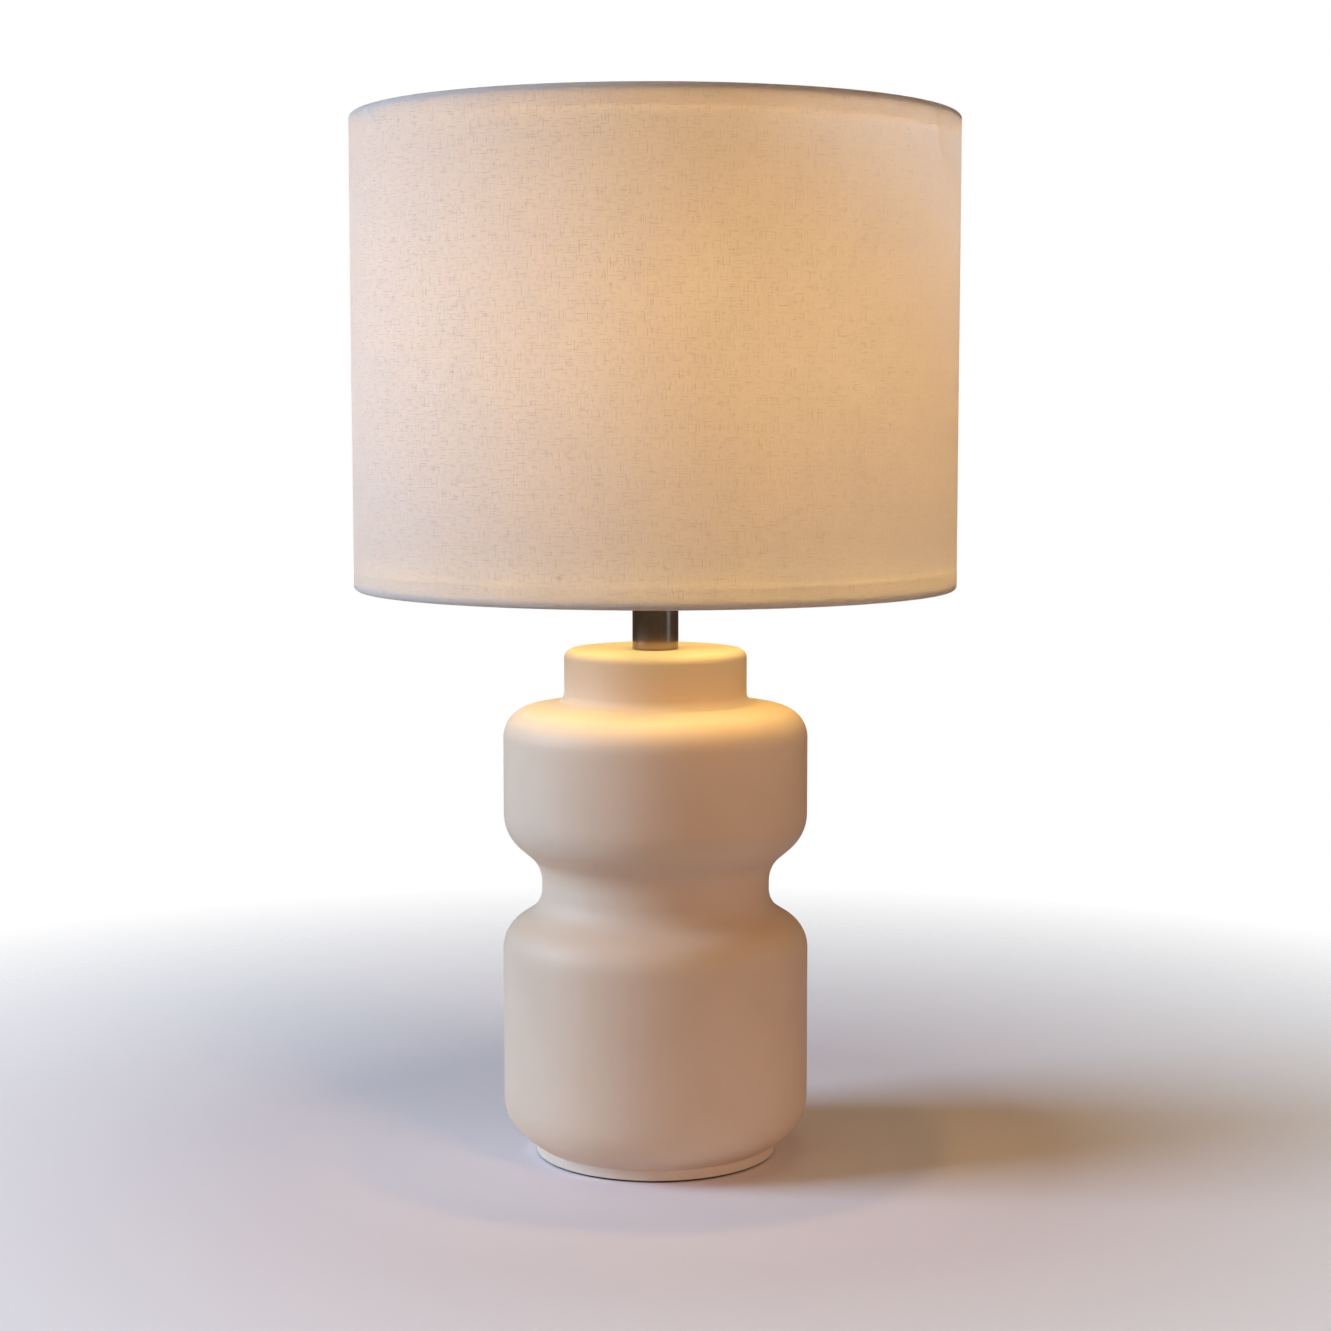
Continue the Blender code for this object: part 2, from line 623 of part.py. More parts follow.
def make_switch(finishes, body):
    start = INTERIOR_RADIUS - SPINDLE_DEPTH
    knob_start = SHELL_RADIUS + KNOB_STANDOFF
    spindle = disc(SPINDLE_RADIUS, start, knob_start + KNOB_BORE_DEPTH - GAP)
    place(turned("switch_spindle", spindle, 12), finishes["brass"], (0, 0, SPINDLE_Z), body, TO_FRONT)
    half = (KNOB_WIDTH - KNOB_THICKNESS) / 2
    corner = KNOB_THICKNESS / 2 - GAP
    wide = half + KNOB_THICKNESS / 2
    tall = KNOB_THICKNESS / 2
    outline = rounded(
        [(-wide, -tall, corner), (wide, -tall, corner), (wide, tall, corner), (-wide, tall, corner)],
        steps=3,
    )
    knob = place(
        prism("turn_knob", outline, KNOB_LENGTH),
        finishes["black_plastic"],
        (0, -knob_start - KNOB_LENGTH / 2, SPINDLE_Z),
        body,
    )
    edges = knob.modifiers.new("edges", "BEVEL")
    edges.width = KNOB_EDGE * MM
    edges.segments = 2
    edges.angle_limit = math.radians(60)
    bore = disc(SPINDLE_RADIUS + FREE, -GAP, KNOB_BORE_DEPTH)
    tool = helper(turned("knob_bore", bore, 12), (0, -knob_start, SPINDLE_Z), TO_FRONT)
    combine(knob, "DIFFERENCE", tool)


def make_bulb(finishes, body):
    at = (0, 0, BULB_Z)
    insulator_z = TIP_HEIGHT + GAP
    cap_z = insulator_z + INSULATOR_HEIGHT + GAP
    cap_top = cap_z + LAMP_CAP_HEIGHT
    place(turned("bulb_tip", disc(TIP_RADIUS, 0, TIP_HEIGHT), SMALL_SEGMENTS), finishes["zinc"], at, body)
    insulator = [
        (0, insulator_z),
        (TIP_RADIUS + GAP, insulator_z),
        (INSULATOR_RADIUS, insulator_z + INSULATOR_HEIGHT),
        (0, insulator_z + INSULATOR_HEIGHT),
    ]
    place(turned("bulb_insulator", insulator, SMALL_SEGMENTS), finishes["black_plastic"], at, body)
    cap_path = [
        (LAMP_CAP_RADIUS, cap_top),
        (LAMP_CAP_RADIUS, cap_z + LAMP_CAP_RADIUS - INSULATOR_RADIUS),
        (INSULATOR_RADIUS, cap_z),
        (TIP_RADIUS, cap_z),
    ]
    place(turned("bulb_screw_cap", strip(cap_path, -LAMP_CAP_WALL)), finishes["nickel"], at, body)
    plug_radius = LAMP_CAP_RADIUS - LAMP_CAP_WALL - GAP
    housing_path = [
        (plug_radius, cap_top - HOUSING_PLUG),
        (plug_radius, cap_top + GAP),
        (HOUSING_NECK_RADIUS, cap_top + HOUSING_NECK),
        (SEAM_RADIUS, BULB_SEAM - HOUSING_LIP),
        (SEAM_RADIUS, BULB_SEAM),
    ]
    place(turned("bulb_housing", strip(housing_path, HOUSING_WALL)), finishes["white_plastic"], at, body)
    board_top = BULB_SEAM - LED_BOARD_DROP
    cone = (SEAM_RADIUS - HOUSING_NECK_RADIUS) / (BULB_SEAM - HOUSING_LIP - cap_top - HOUSING_NECK)
    board_drop = LED_BOARD_THICKNESS + LED_BOARD_DROP - HOUSING_LIP
    board_radius = SEAM_RADIUS - board_drop * cone - HOUSING_WALL * math.hypot(1, cone) - GAP
    board = disc(board_radius, board_top - LED_BOARD_THICKNESS, board_top)
    place(turned("led_board", board), finishes["white_plastic"], at, body)
    low = math.degrees(math.asin((BULB_SEAM + GAP - BULB_CENTRE) / BULB_RADIUS))
    within = BULB_RADIUS - BULB_WALL
    low_within = math.degrees(math.asin((BULB_SEAM + GAP - BULB_CENTRE) / within))
    globe = arc(BULB_CENTRE, BULB_RADIUS, low, 90, 9)[:-1] + [(0, BULB_LENGTH)]
    globe += [(0, BULB_CENTRE + within)] + arc(BULB_CENTRE, within, 90, low_within, 7)[1:]
    place(turned("bulb_globe", globe), finishes["frosted_globe"], at, body)


def make_harp(finishes, harp, sleeve_left, sleeve_right):
    foot = ARM_TOP_Z - TAB_HEIGHT + HARP_FOOT_LIFT
    straight = SLEEVE_Z + SLEEVE_LENGTH + SLEEVE_TRAVEL
    belly = straight + HARP_BELLY
    top = EYE_Z + EYE_THICKNESS / 2
    half_rise = HARP_BELLY / 2
    arch = 0.55 * (top - belly)
    lower = interpolate_bezier(
        (HARP_LEG_X, 0, straight),
        (HARP_LEG_X, 0, straight + half_rise),
        (HARP_HALF_WIDTH, 0, belly - half_rise),
        (HARP_HALF_WIDTH, 0, belly),
        7,
    )
    upper = interpolate_bezier(
        (HARP_HALF_WIDTH, 0, belly),
        (HARP_HALF_WIDTH, 0, belly + arch),
        (0.65 * HARP_HALF_WIDTH, 0, top),
        (EYE_RADIUS, 0, top),
        10,
    )
    right = [Vector((HARP_LEG_X, 0, foot)), *lower, *upper[1:]]
    left = [Vector((-p.x, p.y, p.z)) for p in reversed(right)]
    bow = place(wire("harp", right + left, HARP_WIRE_RADIUS), finishes["brass"], (0, 0, 0), harp)
    eye = helper(turned("harp_eye", disc(EYE_RADIUS, 0, EYE_THICKNESS)), (0, 0, EYE_Z))
    hole = disc(STUD_NECK_RADIUS + FREE, -EYE_THICKNESS, 2 * EYE_THICKNESS)
    combine(bow, "UNION", eye)
    combine(bow, "DIFFERENCE", helper(turned("eye_hole", hole, SMALL_SEGMENTS), (0, 0, EYE_Z)))
    sleeve = ring(SLEEVE_BORE, SLEEVE_BORE + SLEEVE_WALL, 0, SLEEVE_LENGTH)
    for name, way, body in (("left", -1, sleeve_left), ("right", 1, sleeve_right)):
        mesh = turned(f"harp_sleeve_{name}", sleeve, SMALL_SEGMENTS)
        place(mesh, finishes["brass"], (way * SLEEVE_X, 0, SLEEVE_Z), body)


def make_stud(finishes, body):
    rivet_top = EYE_Z - GAP - SEAT_Z
    flange = -STUD_FLANGE
    stud = [
        (0, rivet_top - RIVET_HEIGHT),
        (RIVET_RADIUS, rivet_top - RIVET_HEIGHT),
        (RIVET_RADIUS, rivet_top),
        (STUD_NECK_RADIUS, rivet_top),
        (STUD_NECK_RADIUS, flange),
        (STUD_FLANGE_RADIUS, flange),
        (STUD_FLANGE_RADIUS, 0),
        (STUD_RADIUS, 0),
        (STUD_RADIUS, STUD_HEIGHT - 1),
        (STUD_RADIUS - 1, STUD_HEIGHT),
        (0, STUD_HEIGHT),
    ]
    place(turned("harp_stud", stud, SMALL_SEGMENTS), finishes["brass"], (0, 0, SEAT_Z), body)


def make_finial(finishes, body):
    bore_top = SEAT_Z + STUD_HEIGHT + FREE - FINIAL_Z
    knob_z = FINIAL_HEIGHT - FINIAL_RADIUS
    finial = [
        (STUD_HOLE, 0),
        (FINIAL_FOOT_RADIUS + 1, 0),
        (FINIAL_FOOT_RADIUS + 1, 1.5),
        (FINIAL_FOOT_RADIUS, 2.5),
        *arc(knob_z, FINIAL_RADIUS, -40, 80, 6),
        (0, FINIAL_HEIGHT),
        (0, bore_top),
        (STUD_HOLE, bore_top),
    ]
    place(turned("finial", finial), finishes["dark_nickel"], (0, 0, FINIAL_Z), body)


def make_shade(finishes, body):
    """Everything is turned on one number of segments, so that flat sides lie against flat sides."""
    at = (0, 0, SHADE_Z)
    washer = ring(STUD_HOLE, SPIDER_WASHER_RADIUS, 0, SPIDER_WASHER)
    place(turned("spider_washer", washer), finishes["white_metal"], (0, 0, SPIDER_Z), body)
    spokes = [math.tau * k / SHADE_SEGMENTS for k in range(SHADE_SEGMENTS)]
    ring_points = [(RING_RADIUS * math.cos(a), RING_RADIUS * math.sin(a), 0) for a in spokes]
    for name, z in (("bottom", RING_INSET), ("top", SHADE_HEIGHT - RING_INSET)):
        loop = wire(f"shade_ring_{name}", ring_points, RING_WIRE_RADIUS, closed=True)
        place(loop, finishes["white_metal"], (0, 0, SHADE_Z + z), body)
    make_spider_arms(finishes["white_metal"], body)

    fabric = ring(SHADE_RADIUS - FABRIC, SHADE_RADIUS, 0, SHADE_HEIGHT)
    place(turned("shade_fabric", fabric, SHADE_SEGMENTS), finishes["linen"], at, body)
    wire_space = RING_INSET + RING_WIRE_RADIUS + GAP
    liner = ring(LINER_RADIUS - LINER, LINER_RADIUS, wire_space, SHADE_HEIGHT - wire_space)
    place(turned("shade_liner", liner, SHADE_SEGMENTS), finishes["styrene"], at, body)
    inside = RING_RADIUS - RING_WIRE_RADIUS - GAP
    against_liner = LINER_RADIUS - LINER - GAP
    fold = wire_space + GAP
    hem = [
        (LINER_RADIUS, 0),
        (inside - FABRIC, 0),
        (inside - FABRIC, fold),
        (against_liner - FABRIC, fold + RING_WIRE_RADIUS * 2),
        (against_liner - FABRIC, HEM_DEPTH),
    ]
    bottom = strip(hem, -FABRIC)
    top = [(r, SHADE_HEIGHT - z) for r, z in bottom]
    place(turned("shade_hem_bottom", bottom, SHADE_SEGMENTS), finishes["linen"], at, body)
    place(turned("shade_hem_top", top, SHADE_SEGMENTS), finishes["linen"], at, body)


def make_spider_arms(finish, body):
    low = SPIDER_WASHER / 2
    high = SHADE_RECESS - RING_INSET
    inner = SPIDER_WASHER_RADIUS + GAP
    outer = RING_RADIUS - RING_WIRE_RADIUS - GAP - FABRIC - GAP
    foot = RING_RADIUS - SPIDER_CRANK
    crank = interpolate_bezier(
        (foot, 0, low),
        (foot + SPIDER_CRANK / 2, 0, low),
        (outer - SPIDER_CRANK / 2, 0, high),
        (outer, 0, high),
        8,
    )
    points = [Vector((inner, 0, low)), *crank]
    for k, name in enumerate(("back", "left", "right")):
        turn = math.pi / 2 + math.tau * k / SPIDER_ARMS
        place(
            wire(f"spider_arm_{name}", points, SPIDER_WIRE_RADIUS),
            finish,
            (0, 0, SPIDER_Z),
            body,
            (0, 0, turn),
        )


def main():
    for old in list(bpy.data.objects):
        bpy.data.objects.remove(old)
    finishes = {
        "ceramic": make_material("ceramic", (0.72, 0.66, 0.58), 0.62),
        "felt": make_material("felt", (0.10, 0.09, 0.08), 0.95),
        "zinc": make_material("zinc", (0.62, 0.63, 0.64), 0.42, 1.0),
        "brass": make_material("brass", (0.80, 0.62, 0.30), 0.32, 1.0),
        "nickel": make_material("nickel", (0.70, 0.68, 0.64), 0.28, 1.0),
        "dark_nickel": make_material("dark_nickel", (0.16, 0.13, 0.11), 0.22, 1.0),
        "rubber": make_material("rubber", (0.03, 0.03, 0.03), 0.70),
        "card": make_material("card", (0.42, 0.33, 0.22), 0.90),
        "phenolic": make_material("phenolic", (0.05, 0.04, 0.035), 0.40),
        "black_plastic": make_material("black_plastic", (0.03, 0.03, 0.03), 0.38),
        "white_plastic": make_material("white_plastic", (0.85, 0.85, 0.83), 0.45),
        "frosted_globe": make_material("frosted_globe", (0.95, 0.93, 0.88), 0.50),
        "white_metal": make_material("white_metal", (0.86, 0.85, 0.82), 0.40),
        "linen": make_material("linen", (0.84, 0.80, 0.73), 0.88),
        "styrene": make_material("styrene", (0.90, 0.89, 0.86), 0.55),
    }
    harp = joint_at("harp_joint", (0, 0, SADDLE_Z))
    sleeve_left = joint_at("sleeve_left_joint", (-SLEEVE_X, 0, SLEEVE_Z), harp)
    sleeve_right = joint_at("sleeve_right_joint", (SLEEVE_X, 0, SLEEVE_Z), harp)
    swivel = joint_at("swivel_joint", (0, 0, SEAT_Z), harp)
    shade = joint_at("shade_joint", (0, 0, SPIDER_Z), swivel)
    finial = joint_at("finial_joint", (0, 0, FINIAL_Z), shade)
    switch = joint_at("switch_joint", (0, -SHELL_RADIUS, SPINDLE_Z))
    bulb = joint_at("bulb_joint", (0, 0, BULB_Z))

    make_base(finishes)
    make_neck(finishes)
    make_saddle(finishes)
    make_socket(finishes)
    make_switch(finishes, switch)
    make_bulb(finishes, bulb)
    make_harp(finishes, harp, sleeve_left, sleeve_right)
    make_stud(finishes, swivel)
    make_shade(finishes, shade)
    make_finial(finishes, finial)


main()
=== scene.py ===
import math
import bmesh
import bpy
import numpy as np
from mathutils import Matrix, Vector


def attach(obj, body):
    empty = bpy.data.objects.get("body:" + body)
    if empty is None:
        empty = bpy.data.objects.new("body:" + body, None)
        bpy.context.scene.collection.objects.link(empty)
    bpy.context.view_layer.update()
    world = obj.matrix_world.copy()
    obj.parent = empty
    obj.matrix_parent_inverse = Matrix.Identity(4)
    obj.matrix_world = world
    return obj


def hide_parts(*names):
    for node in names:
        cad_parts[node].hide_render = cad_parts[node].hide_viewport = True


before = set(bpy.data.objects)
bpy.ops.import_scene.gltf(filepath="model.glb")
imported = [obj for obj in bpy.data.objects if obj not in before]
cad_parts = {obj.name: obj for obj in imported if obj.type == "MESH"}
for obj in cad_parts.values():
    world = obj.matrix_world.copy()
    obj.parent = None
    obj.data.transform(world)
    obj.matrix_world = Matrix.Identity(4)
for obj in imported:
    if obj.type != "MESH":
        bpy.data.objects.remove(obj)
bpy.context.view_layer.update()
print("frame loaded:", len(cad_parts), "nodes")

millimetre = 0.001


# Lines and surfaces, all in millimetres, as whole arrays.
def turnBy(spots, angle):
    # Each (x, z) turned round the origin: x cos - z sin, x sin + z cos.
    return np.stack([
        spots[..., 0] * np.cos(angle) - spots[..., 1] * np.sin(angle),
        spots[..., 0] * np.sin(angle) + spots[..., 1] * np.cos(angle),
    ], axis=-1)


def roundedLine(corners, steps=10):
    # Corners (radius, height, rounding): each is cut off by the arc that touches both of its edges.
    spots = np.array([corner[:2] for corner in corners], float)
    pieces = []
    for i, corner in enumerate(corners):
        rounding = corner[2] if len(corner) > 2 else 0
        if rounding <= 0:
            pieces.append(spots[i:i + 1])
            continue
        before = spots[i - 1] - spots[i]
        after = spots[(i + 1) % len(spots)] - spots[i]
        before, after = before / np.linalg.norm(before), after / np.linalg.norm(after)
        half = math.acos(float(np.clip(before @ after, -1, 1))) / 2
        centre = spots[i] + (before + after) / np.linalg.norm(before + after) * rounding / math.sin(half)
        start = spots[i] + before * rounding / math.tan(half) - centre
        turn = math.pi - 2 * half
        side = math.copysign(1, before[0] * after[1] - before[1] * after[0])
        count = max(2, math.ceil(steps * turn / (math.pi / 2)))
        pieces.append(centre + turnBy(start, -side * turn * np.linspace(0, 1, count + 1)))
    return np.concatenate(pieces)


def lengthAlong(line):
    # The distance run from the first point of a line to each of its points.
    return np.concatenate([[0], np.cumsum(np.linalg.norm(np.diff(line, axis=0), axis=1))])


def refined(line, longest):
    # The same line with points added, so that no stretch is longer than the longest.
    run = lengthAlong(line)
    keep = np.concatenate([[True], np.diff(run) > 1e-6])
    line, run = line[keep], run[keep]
    counts = np.maximum(1, np.ceil(np.diff(run) / longest)).astype(int)
    places = np.concatenate([
        run[i] + (run[i + 1] - run[i]) * np.arange(n) / n for i, n in enumerate(counts)
    ] + [run[-1:]])
    return np.stack([np.interp(places, run, line[:, k]) for k in range(line.shape[1])], axis=-1)


def thickened(line, wall):
    # A closed outline half a wall to each side of a line, out along one side and back along the other.
    along = np.gradient(line, axis=0)
    along /= np.linalg.norm(along, axis=1, keepdims=True)
    off = np.stack([along[:, 1], -along[:, 0]], axis=-1) * wall / 2
    return np.concatenate([line + off, (line - off)[::-1]])


def circle(radius, count=16):
    angle = math.tau * np.arange(count) / count
    return radius * np.stack([np.cos(angle), np.sin(angle)], axis=-1)


def gridSurface(points, wrapRows=False, wrapCols=False, across=None, along=None):
    # A quad for each cell of a grid of points; across and along give the cell corners' own flat lengths.
    rows, cols = points.shape[:2]
    r = np.arange(rows if wrapRows else rows - 1)
    c = np.arange(cols if wrapCols else cols - 1)
    r, c = np.meshgrid(r, c, indexing="ij")
    nextR, nextC = (r + 1) % rows, (c + 1) % cols
    faces = np.stack([r * cols + c, nextR * cols + c, nextR * cols + nextC, r * cols + nextC], -1)
    if across is None:
        across = np.linspace(0, 1, rows + 1 if wrapRows else rows)
    if along is None:
        along = np.linspace(0, 1, cols + 1 if wrapCols else cols)
    flat = np.stack([
        np.stack([across[r], across[r + 1], across[r + 1], across[r]], -1),
        np.stack([along[c], along[c], along[c + 1], along[c + 1]], -1),
    ], axis=-1)
    points = points.reshape(-1, 3)
    faces, flat = faces.reshape(-1, 4), flat.reshape(-1, 4, 2)
    a, b, c, d = (points[faces[:, k]] for k in range(4))
    volume = (a * np.cross(b, c)).sum() + (a * np.cross(c, d)).sum()
    if volume < 0:
        faces, flat = faces[:, ::-1], flat[:, ::-1]
    return {"points": points, "faces": faces, "flat": flat}


def turnedSurface(line, sectors=96, closed=True, angles=None, swell=None, along=None):
    # A line (radius, height) carried round the axis: x = r cos a, y = r sin a, z = h.
    angles = math.tau * np.arange(sectors) / sectors if angles is None else angles
    radius = line[None, :, 0] + (0 if swell is None else swell(angles[:, None], line[None, :, 1]))
    radius = radius * np.ones((len(angles), 1))
    height = line[None, :, 1] * np.ones((len(angles), 1))
    points = np.stack([
        radius * np.cos(angles[:, None]), radius * np.sin(angles[:, None]), height
    ], axis=-1)
    around = np.append(angles, angles[0] + math.tau) * np.abs(line[:, 0]).max()
    if along is None:
        along = lengthAlong(np.concatenate([line, line[:1]]) if closed else line)
    return gridSurface(points, True, closed, around, along)


def drill(radius, low, high, sectors):
    # A closed cylinder to cut a round hole with.
    line = np.array([(0, low), (radius, low), (radius, high), (0, high)], float)
    return turnedSurface(line, sectors, closed=False)


def carriedSurface(path, section, side, closed=False, stretch=None, ends=()):
    # A section set square to a flat path: path + across * u + side * v, stretched point by point.
    path = np.asarray(path, float)
    if closed:
        along = np.roll(path, -1, axis=0) - np.roll(path, 1, axis=0)
    else:
        along = np.gradient(path, axis=0)
    along /= np.linalg.norm(along, axis=1, keepdims=True)
    stretch = np.ones((len(path), 2)) if stretch is None else stretch
    if ends:
        # Ends are (share of the section, distance past the path's end), tip first.
        share = np.array([end[0] for end in ends])[:, None]
        past = np.array([end[1] for end in ends])[:, None]
        path = np.concatenate([path[0] - along[0] * past, path, (path[-1] + along[-1] * past)[::-1]])
        stretch = np.concatenate([stretch[0] * share, stretch, (stretch[-1] * share)[::-1]])
        along = np.concatenate([
            np.repeat(along[:1], len(ends), 0), along, np.repeat(along[-1:], len(ends), 0)
        ])
    side = np.asarray(side, float)
    across = np.cross(side, along)
    points = (
        path[:, None]
        + across[:, None] * (section[None, :, 0] * stretch[:, :1])[..., None]
        + side * (section[None, :, 1] * stretch[:, 1:])[..., None]
    )
    run = lengthAlong(np.concatenate([path, path[:1]]) if closed else path)
    loop = np.concatenate([section, section[:1]])
    return gridSurface(points, closed, True, run, lengthAlong(loop))


def roundEnds(radius, count=5):
    # A half ball past the end: the section shrinks as the cosine while it moves out as the sine.
    angle = np.linspace(math.pi / 2, 0, count, endpoint=False)
    return list(zip(np.cos(angle), radius * np.sin(angle)))


def moved(surface, at=(0, 0, 0), turn=None):
    points = surface["points"] if turn is None else surface["points"] @ np.asarray(turn, float).T
    return {**surface, "points": points + np.asarray(at, float)}


toBack = [[1, 0, 0], [0, 0, 1], [0, -1, 0]]  # carries up to the back
toFront = [[1, 0, 0], [0, 0, -1], [0, 1, 0]]  # carries up to the front


def aboutUp(angle):
    return [
        [math.cos(angle), -math.sin(angle), 0],
        [math.sin(angle), math.cos(angle), 0],
        [0, 0, 1],
    ]


def build(name, finish, body, nodes, surfaces, sharp=35):
    # One object from its surfaces: their arrays are joined, put in the mesh, and poles are merged.
    starts = np.cumsum([0] + [len(surface["points"]) for surface in surfaces[:-1]])
    points = np.concatenate([surface["points"] for surface in surfaces]) * millimetre
    faces = np.concatenate([surface["faces"] + start for surface, start in zip(surfaces, starts)])
    flat = np.concatenate([surface["flat"] for surface in surfaces])
    mesh = bpy.data.meshes.new(name)
    mesh.vertices.add(len(points))
    mesh.vertices.foreach_set("co", points.astype(np.float32).ravel())
    mesh.loops.add(faces.size)
    mesh.loops.foreach_set("vertex_index", faces.astype(np.int32).ravel())
    mesh.polygons.add(len(faces))
    mesh.polygons.foreach_set("loop_start", np.arange(0, faces.size, 4, dtype=np.int32))
    mesh.update(calc_edges=True)
    layer = mesh.uv_layers.new(name="UVMap")
    layer.data.foreach_set("uv", (flat * millimetre).astype(np.float32).ravel())
    work = bmesh.new()
    work.from_mesh(mesh)
    bmesh.ops.remove_doubles(work, verts=work.verts, dist=2e-6)
    work.to_mesh(mesh)
    work.free()
    mesh.shade_smooth()
    mesh.set_sharp_from_angle(angle=math.radians(sharp))
    piece = bpy.data.objects.new(name, mesh)
    bpy.context.scene.collection.objects.link(piece)
    piece.data.materials.append(finish)
    settle(piece, body, nodes)
    return piece


def settle(piece, body, nodes):
    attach(piece, body)
    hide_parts(*nodes)


def cutFrom(piece, surface):
    # The surface's shape taken out of the piece, with the result kept in the piece's own mesh.
    tool = bpy.data.objects.new("tool", bpy.data.meshes.new("tool"))
    tool.data.from_pydata((surface["points"] * millimetre).tolist(), [], surface["faces"].tolist())
    work = bmesh.new()
    work.from_mesh(tool.data)
    bmesh.ops.remove_doubles(work, verts=work.verts, dist=2e-6)
    work.to_mesh(tool.data)
    work.free()
    bpy.context.scene.collection.objects.link(tool)
    cut = piece.modifiers.new("cut", "BOOLEAN")
    cut.operation, cut.object, cut.solver = "DIFFERENCE", tool, "EXACT"
    bpy.context.view_layer.update()
    result = piece.evaluated_get(bpy.context.evaluated_depsgraph_get())
    mesh = bpy.data.meshes.new_from_object(result)
    piece.modifiers.remove(cut)
    old, piece.data = piece.data, mesh
    mesh.name = piece.name
    bpy.data.meshes.remove(old)
    bpy.data.objects.remove(tool)


# Shader maths.
class Wire:
    # A node's output that Python's own operators work on: each adds the Math node of its name.
    def __init__(self, finish, socket):
        self.finish, self.socket = finish, socket

    def maths(self, operation, *values):
        return self.finish.node("ShaderNodeMath", {"operation": operation}, dict(enumerate(values)))

    def __add__(self, other):
        return self.maths("ADD", self, other)

    def __sub__(self, other):
        return self.maths("SUBTRACT", self, other)

    def __rsub__(self, other):
        return self.maths("SUBTRACT", other, self)

    def __mul__(self, other):
        return self.maths("MULTIPLY", self, other)

    def __truediv__(self, other):
        return self.maths("DIVIDE", self, other)

    def __lt__(self, other):
        return self.maths("LESS_THAN", self, other)

    __radd__ = __add__
    __rmul__ = __mul__

    def sine(self):
        return self.maths("SINE", self)


class Finish:
    # One material, and the one way in which its nodes are made.
    def __init__(self, name):
        self.material = bpy.data.materials.new(name)
        self.material.use_nodes = True
        self.nodes = self.material.node_tree.nodes
        self.nodes.clear()

    def node(self, kind, settings=None, sockets=None, output=0):
        made = self.nodes.new(kind)
        for key, value in (settings or {}).items():
            if key == "stops":
                ramp = made.color_ramp.elements
                while len(ramp) < len(value):
                    ramp.new(0.5)
                for element, (place, shade) in zip(ramp, value):
                    element.position = place
                    element.color = (*([shade] * 3 if isinstance(shade, (int, float)) else shade), 1)
            else:
                setattr(made, key, value)
        for key, value in (sockets or {}).items():
            if isinstance(value, Wire):
                self.material.node_tree.links.new(value.socket, made.inputs[key])
            elif isinstance(value, (tuple, list)) and len(value) == 3 and made.inputs[key].type == "RGBA":
                made.inputs[key].default_value = (*value, 1)
            else:
                made.inputs[key].default_value = value
        return Wire(self, made.outputs[output] if len(made.outputs) else None)

    def spot(self):
        return self.node("ShaderNodeTexCoord", output="Object")

    def height(self):
        return self.node("ShaderNodeSeparateXYZ", {}, {0: self.spot()}, "Z")

    def place(self, scale=(1, 1, 1)):
        return self.node("ShaderNodeMapping", {}, {"Vector": self.spot(), "Scale": scale})

    def flat(self, scale=(1, 1, 1)):
        spot = self.node("ShaderNodeUVMap", {"uv_map": "UVMap"})
        return self.node("ShaderNodeMapping", {}, {"Vector": spot, "Scale": scale})

    def noise(self, place, scale, detail=3.0, rough=0.55):
        return self.node("ShaderNodeTexNoise", {}, {
            "Vector": place, "Scale": scale, "Detail": detail, "Roughness": rough,
        })

    def ramp(self, value, *stops):
        return self.node("ShaderNodeValToRGB", {"stops": stops}, {"Fac": value})

    def blend(self, share, first, second):
        return self.node("ShaderNodeMix", {"data_type": "RGBA"}, {0: share, 6: first, 7: second}, 2)

    def bump(self, height, depth):
        return self.node("ShaderNodeBump", {}, {"Height": height, "Distance": depth, "Strength": 1.0})

    def paint(self, **sockets):
        named = {key.replace("_", " "): value for key, value in sockets.items()}
        return self.node("ShaderNodeBsdfPrincipled", {}, named)

    def done(self, shader):
        self.node("ShaderNodeOutputMaterial", {}, {"Surface": shader})
        return self.material


# Camera, room and light.
view = {
    "distance": 1.4196,
    "height": 0.4155,
    "aside": 0.00556,
    "downward": 5.741,  # degrees
    "lens": 69.87,
    "sensor": 36,
}

cameraData = bpy.data.cameras.new("camera")
cameraData.lens = view["lens"]
cameraData.sensor_width = view["sensor"]
camera = bpy.data.objects.new("camera", cameraData)
camera.location = (view["aside"], -view["distance"], view["height"])
camera.rotation_euler = (math.radians(90 - view["downward"]), 0, 0)
bpy.context.scene.collection.objects.link(camera)
bpy.context.scene.camera = camera
bpy.context.scene.view_settings.view_transform = "Standard"
bpy.context.scene.view_settings.look = "None"
bpy.context.scene.cycles.use_light_tree = False  # it left steps in the shade's glow

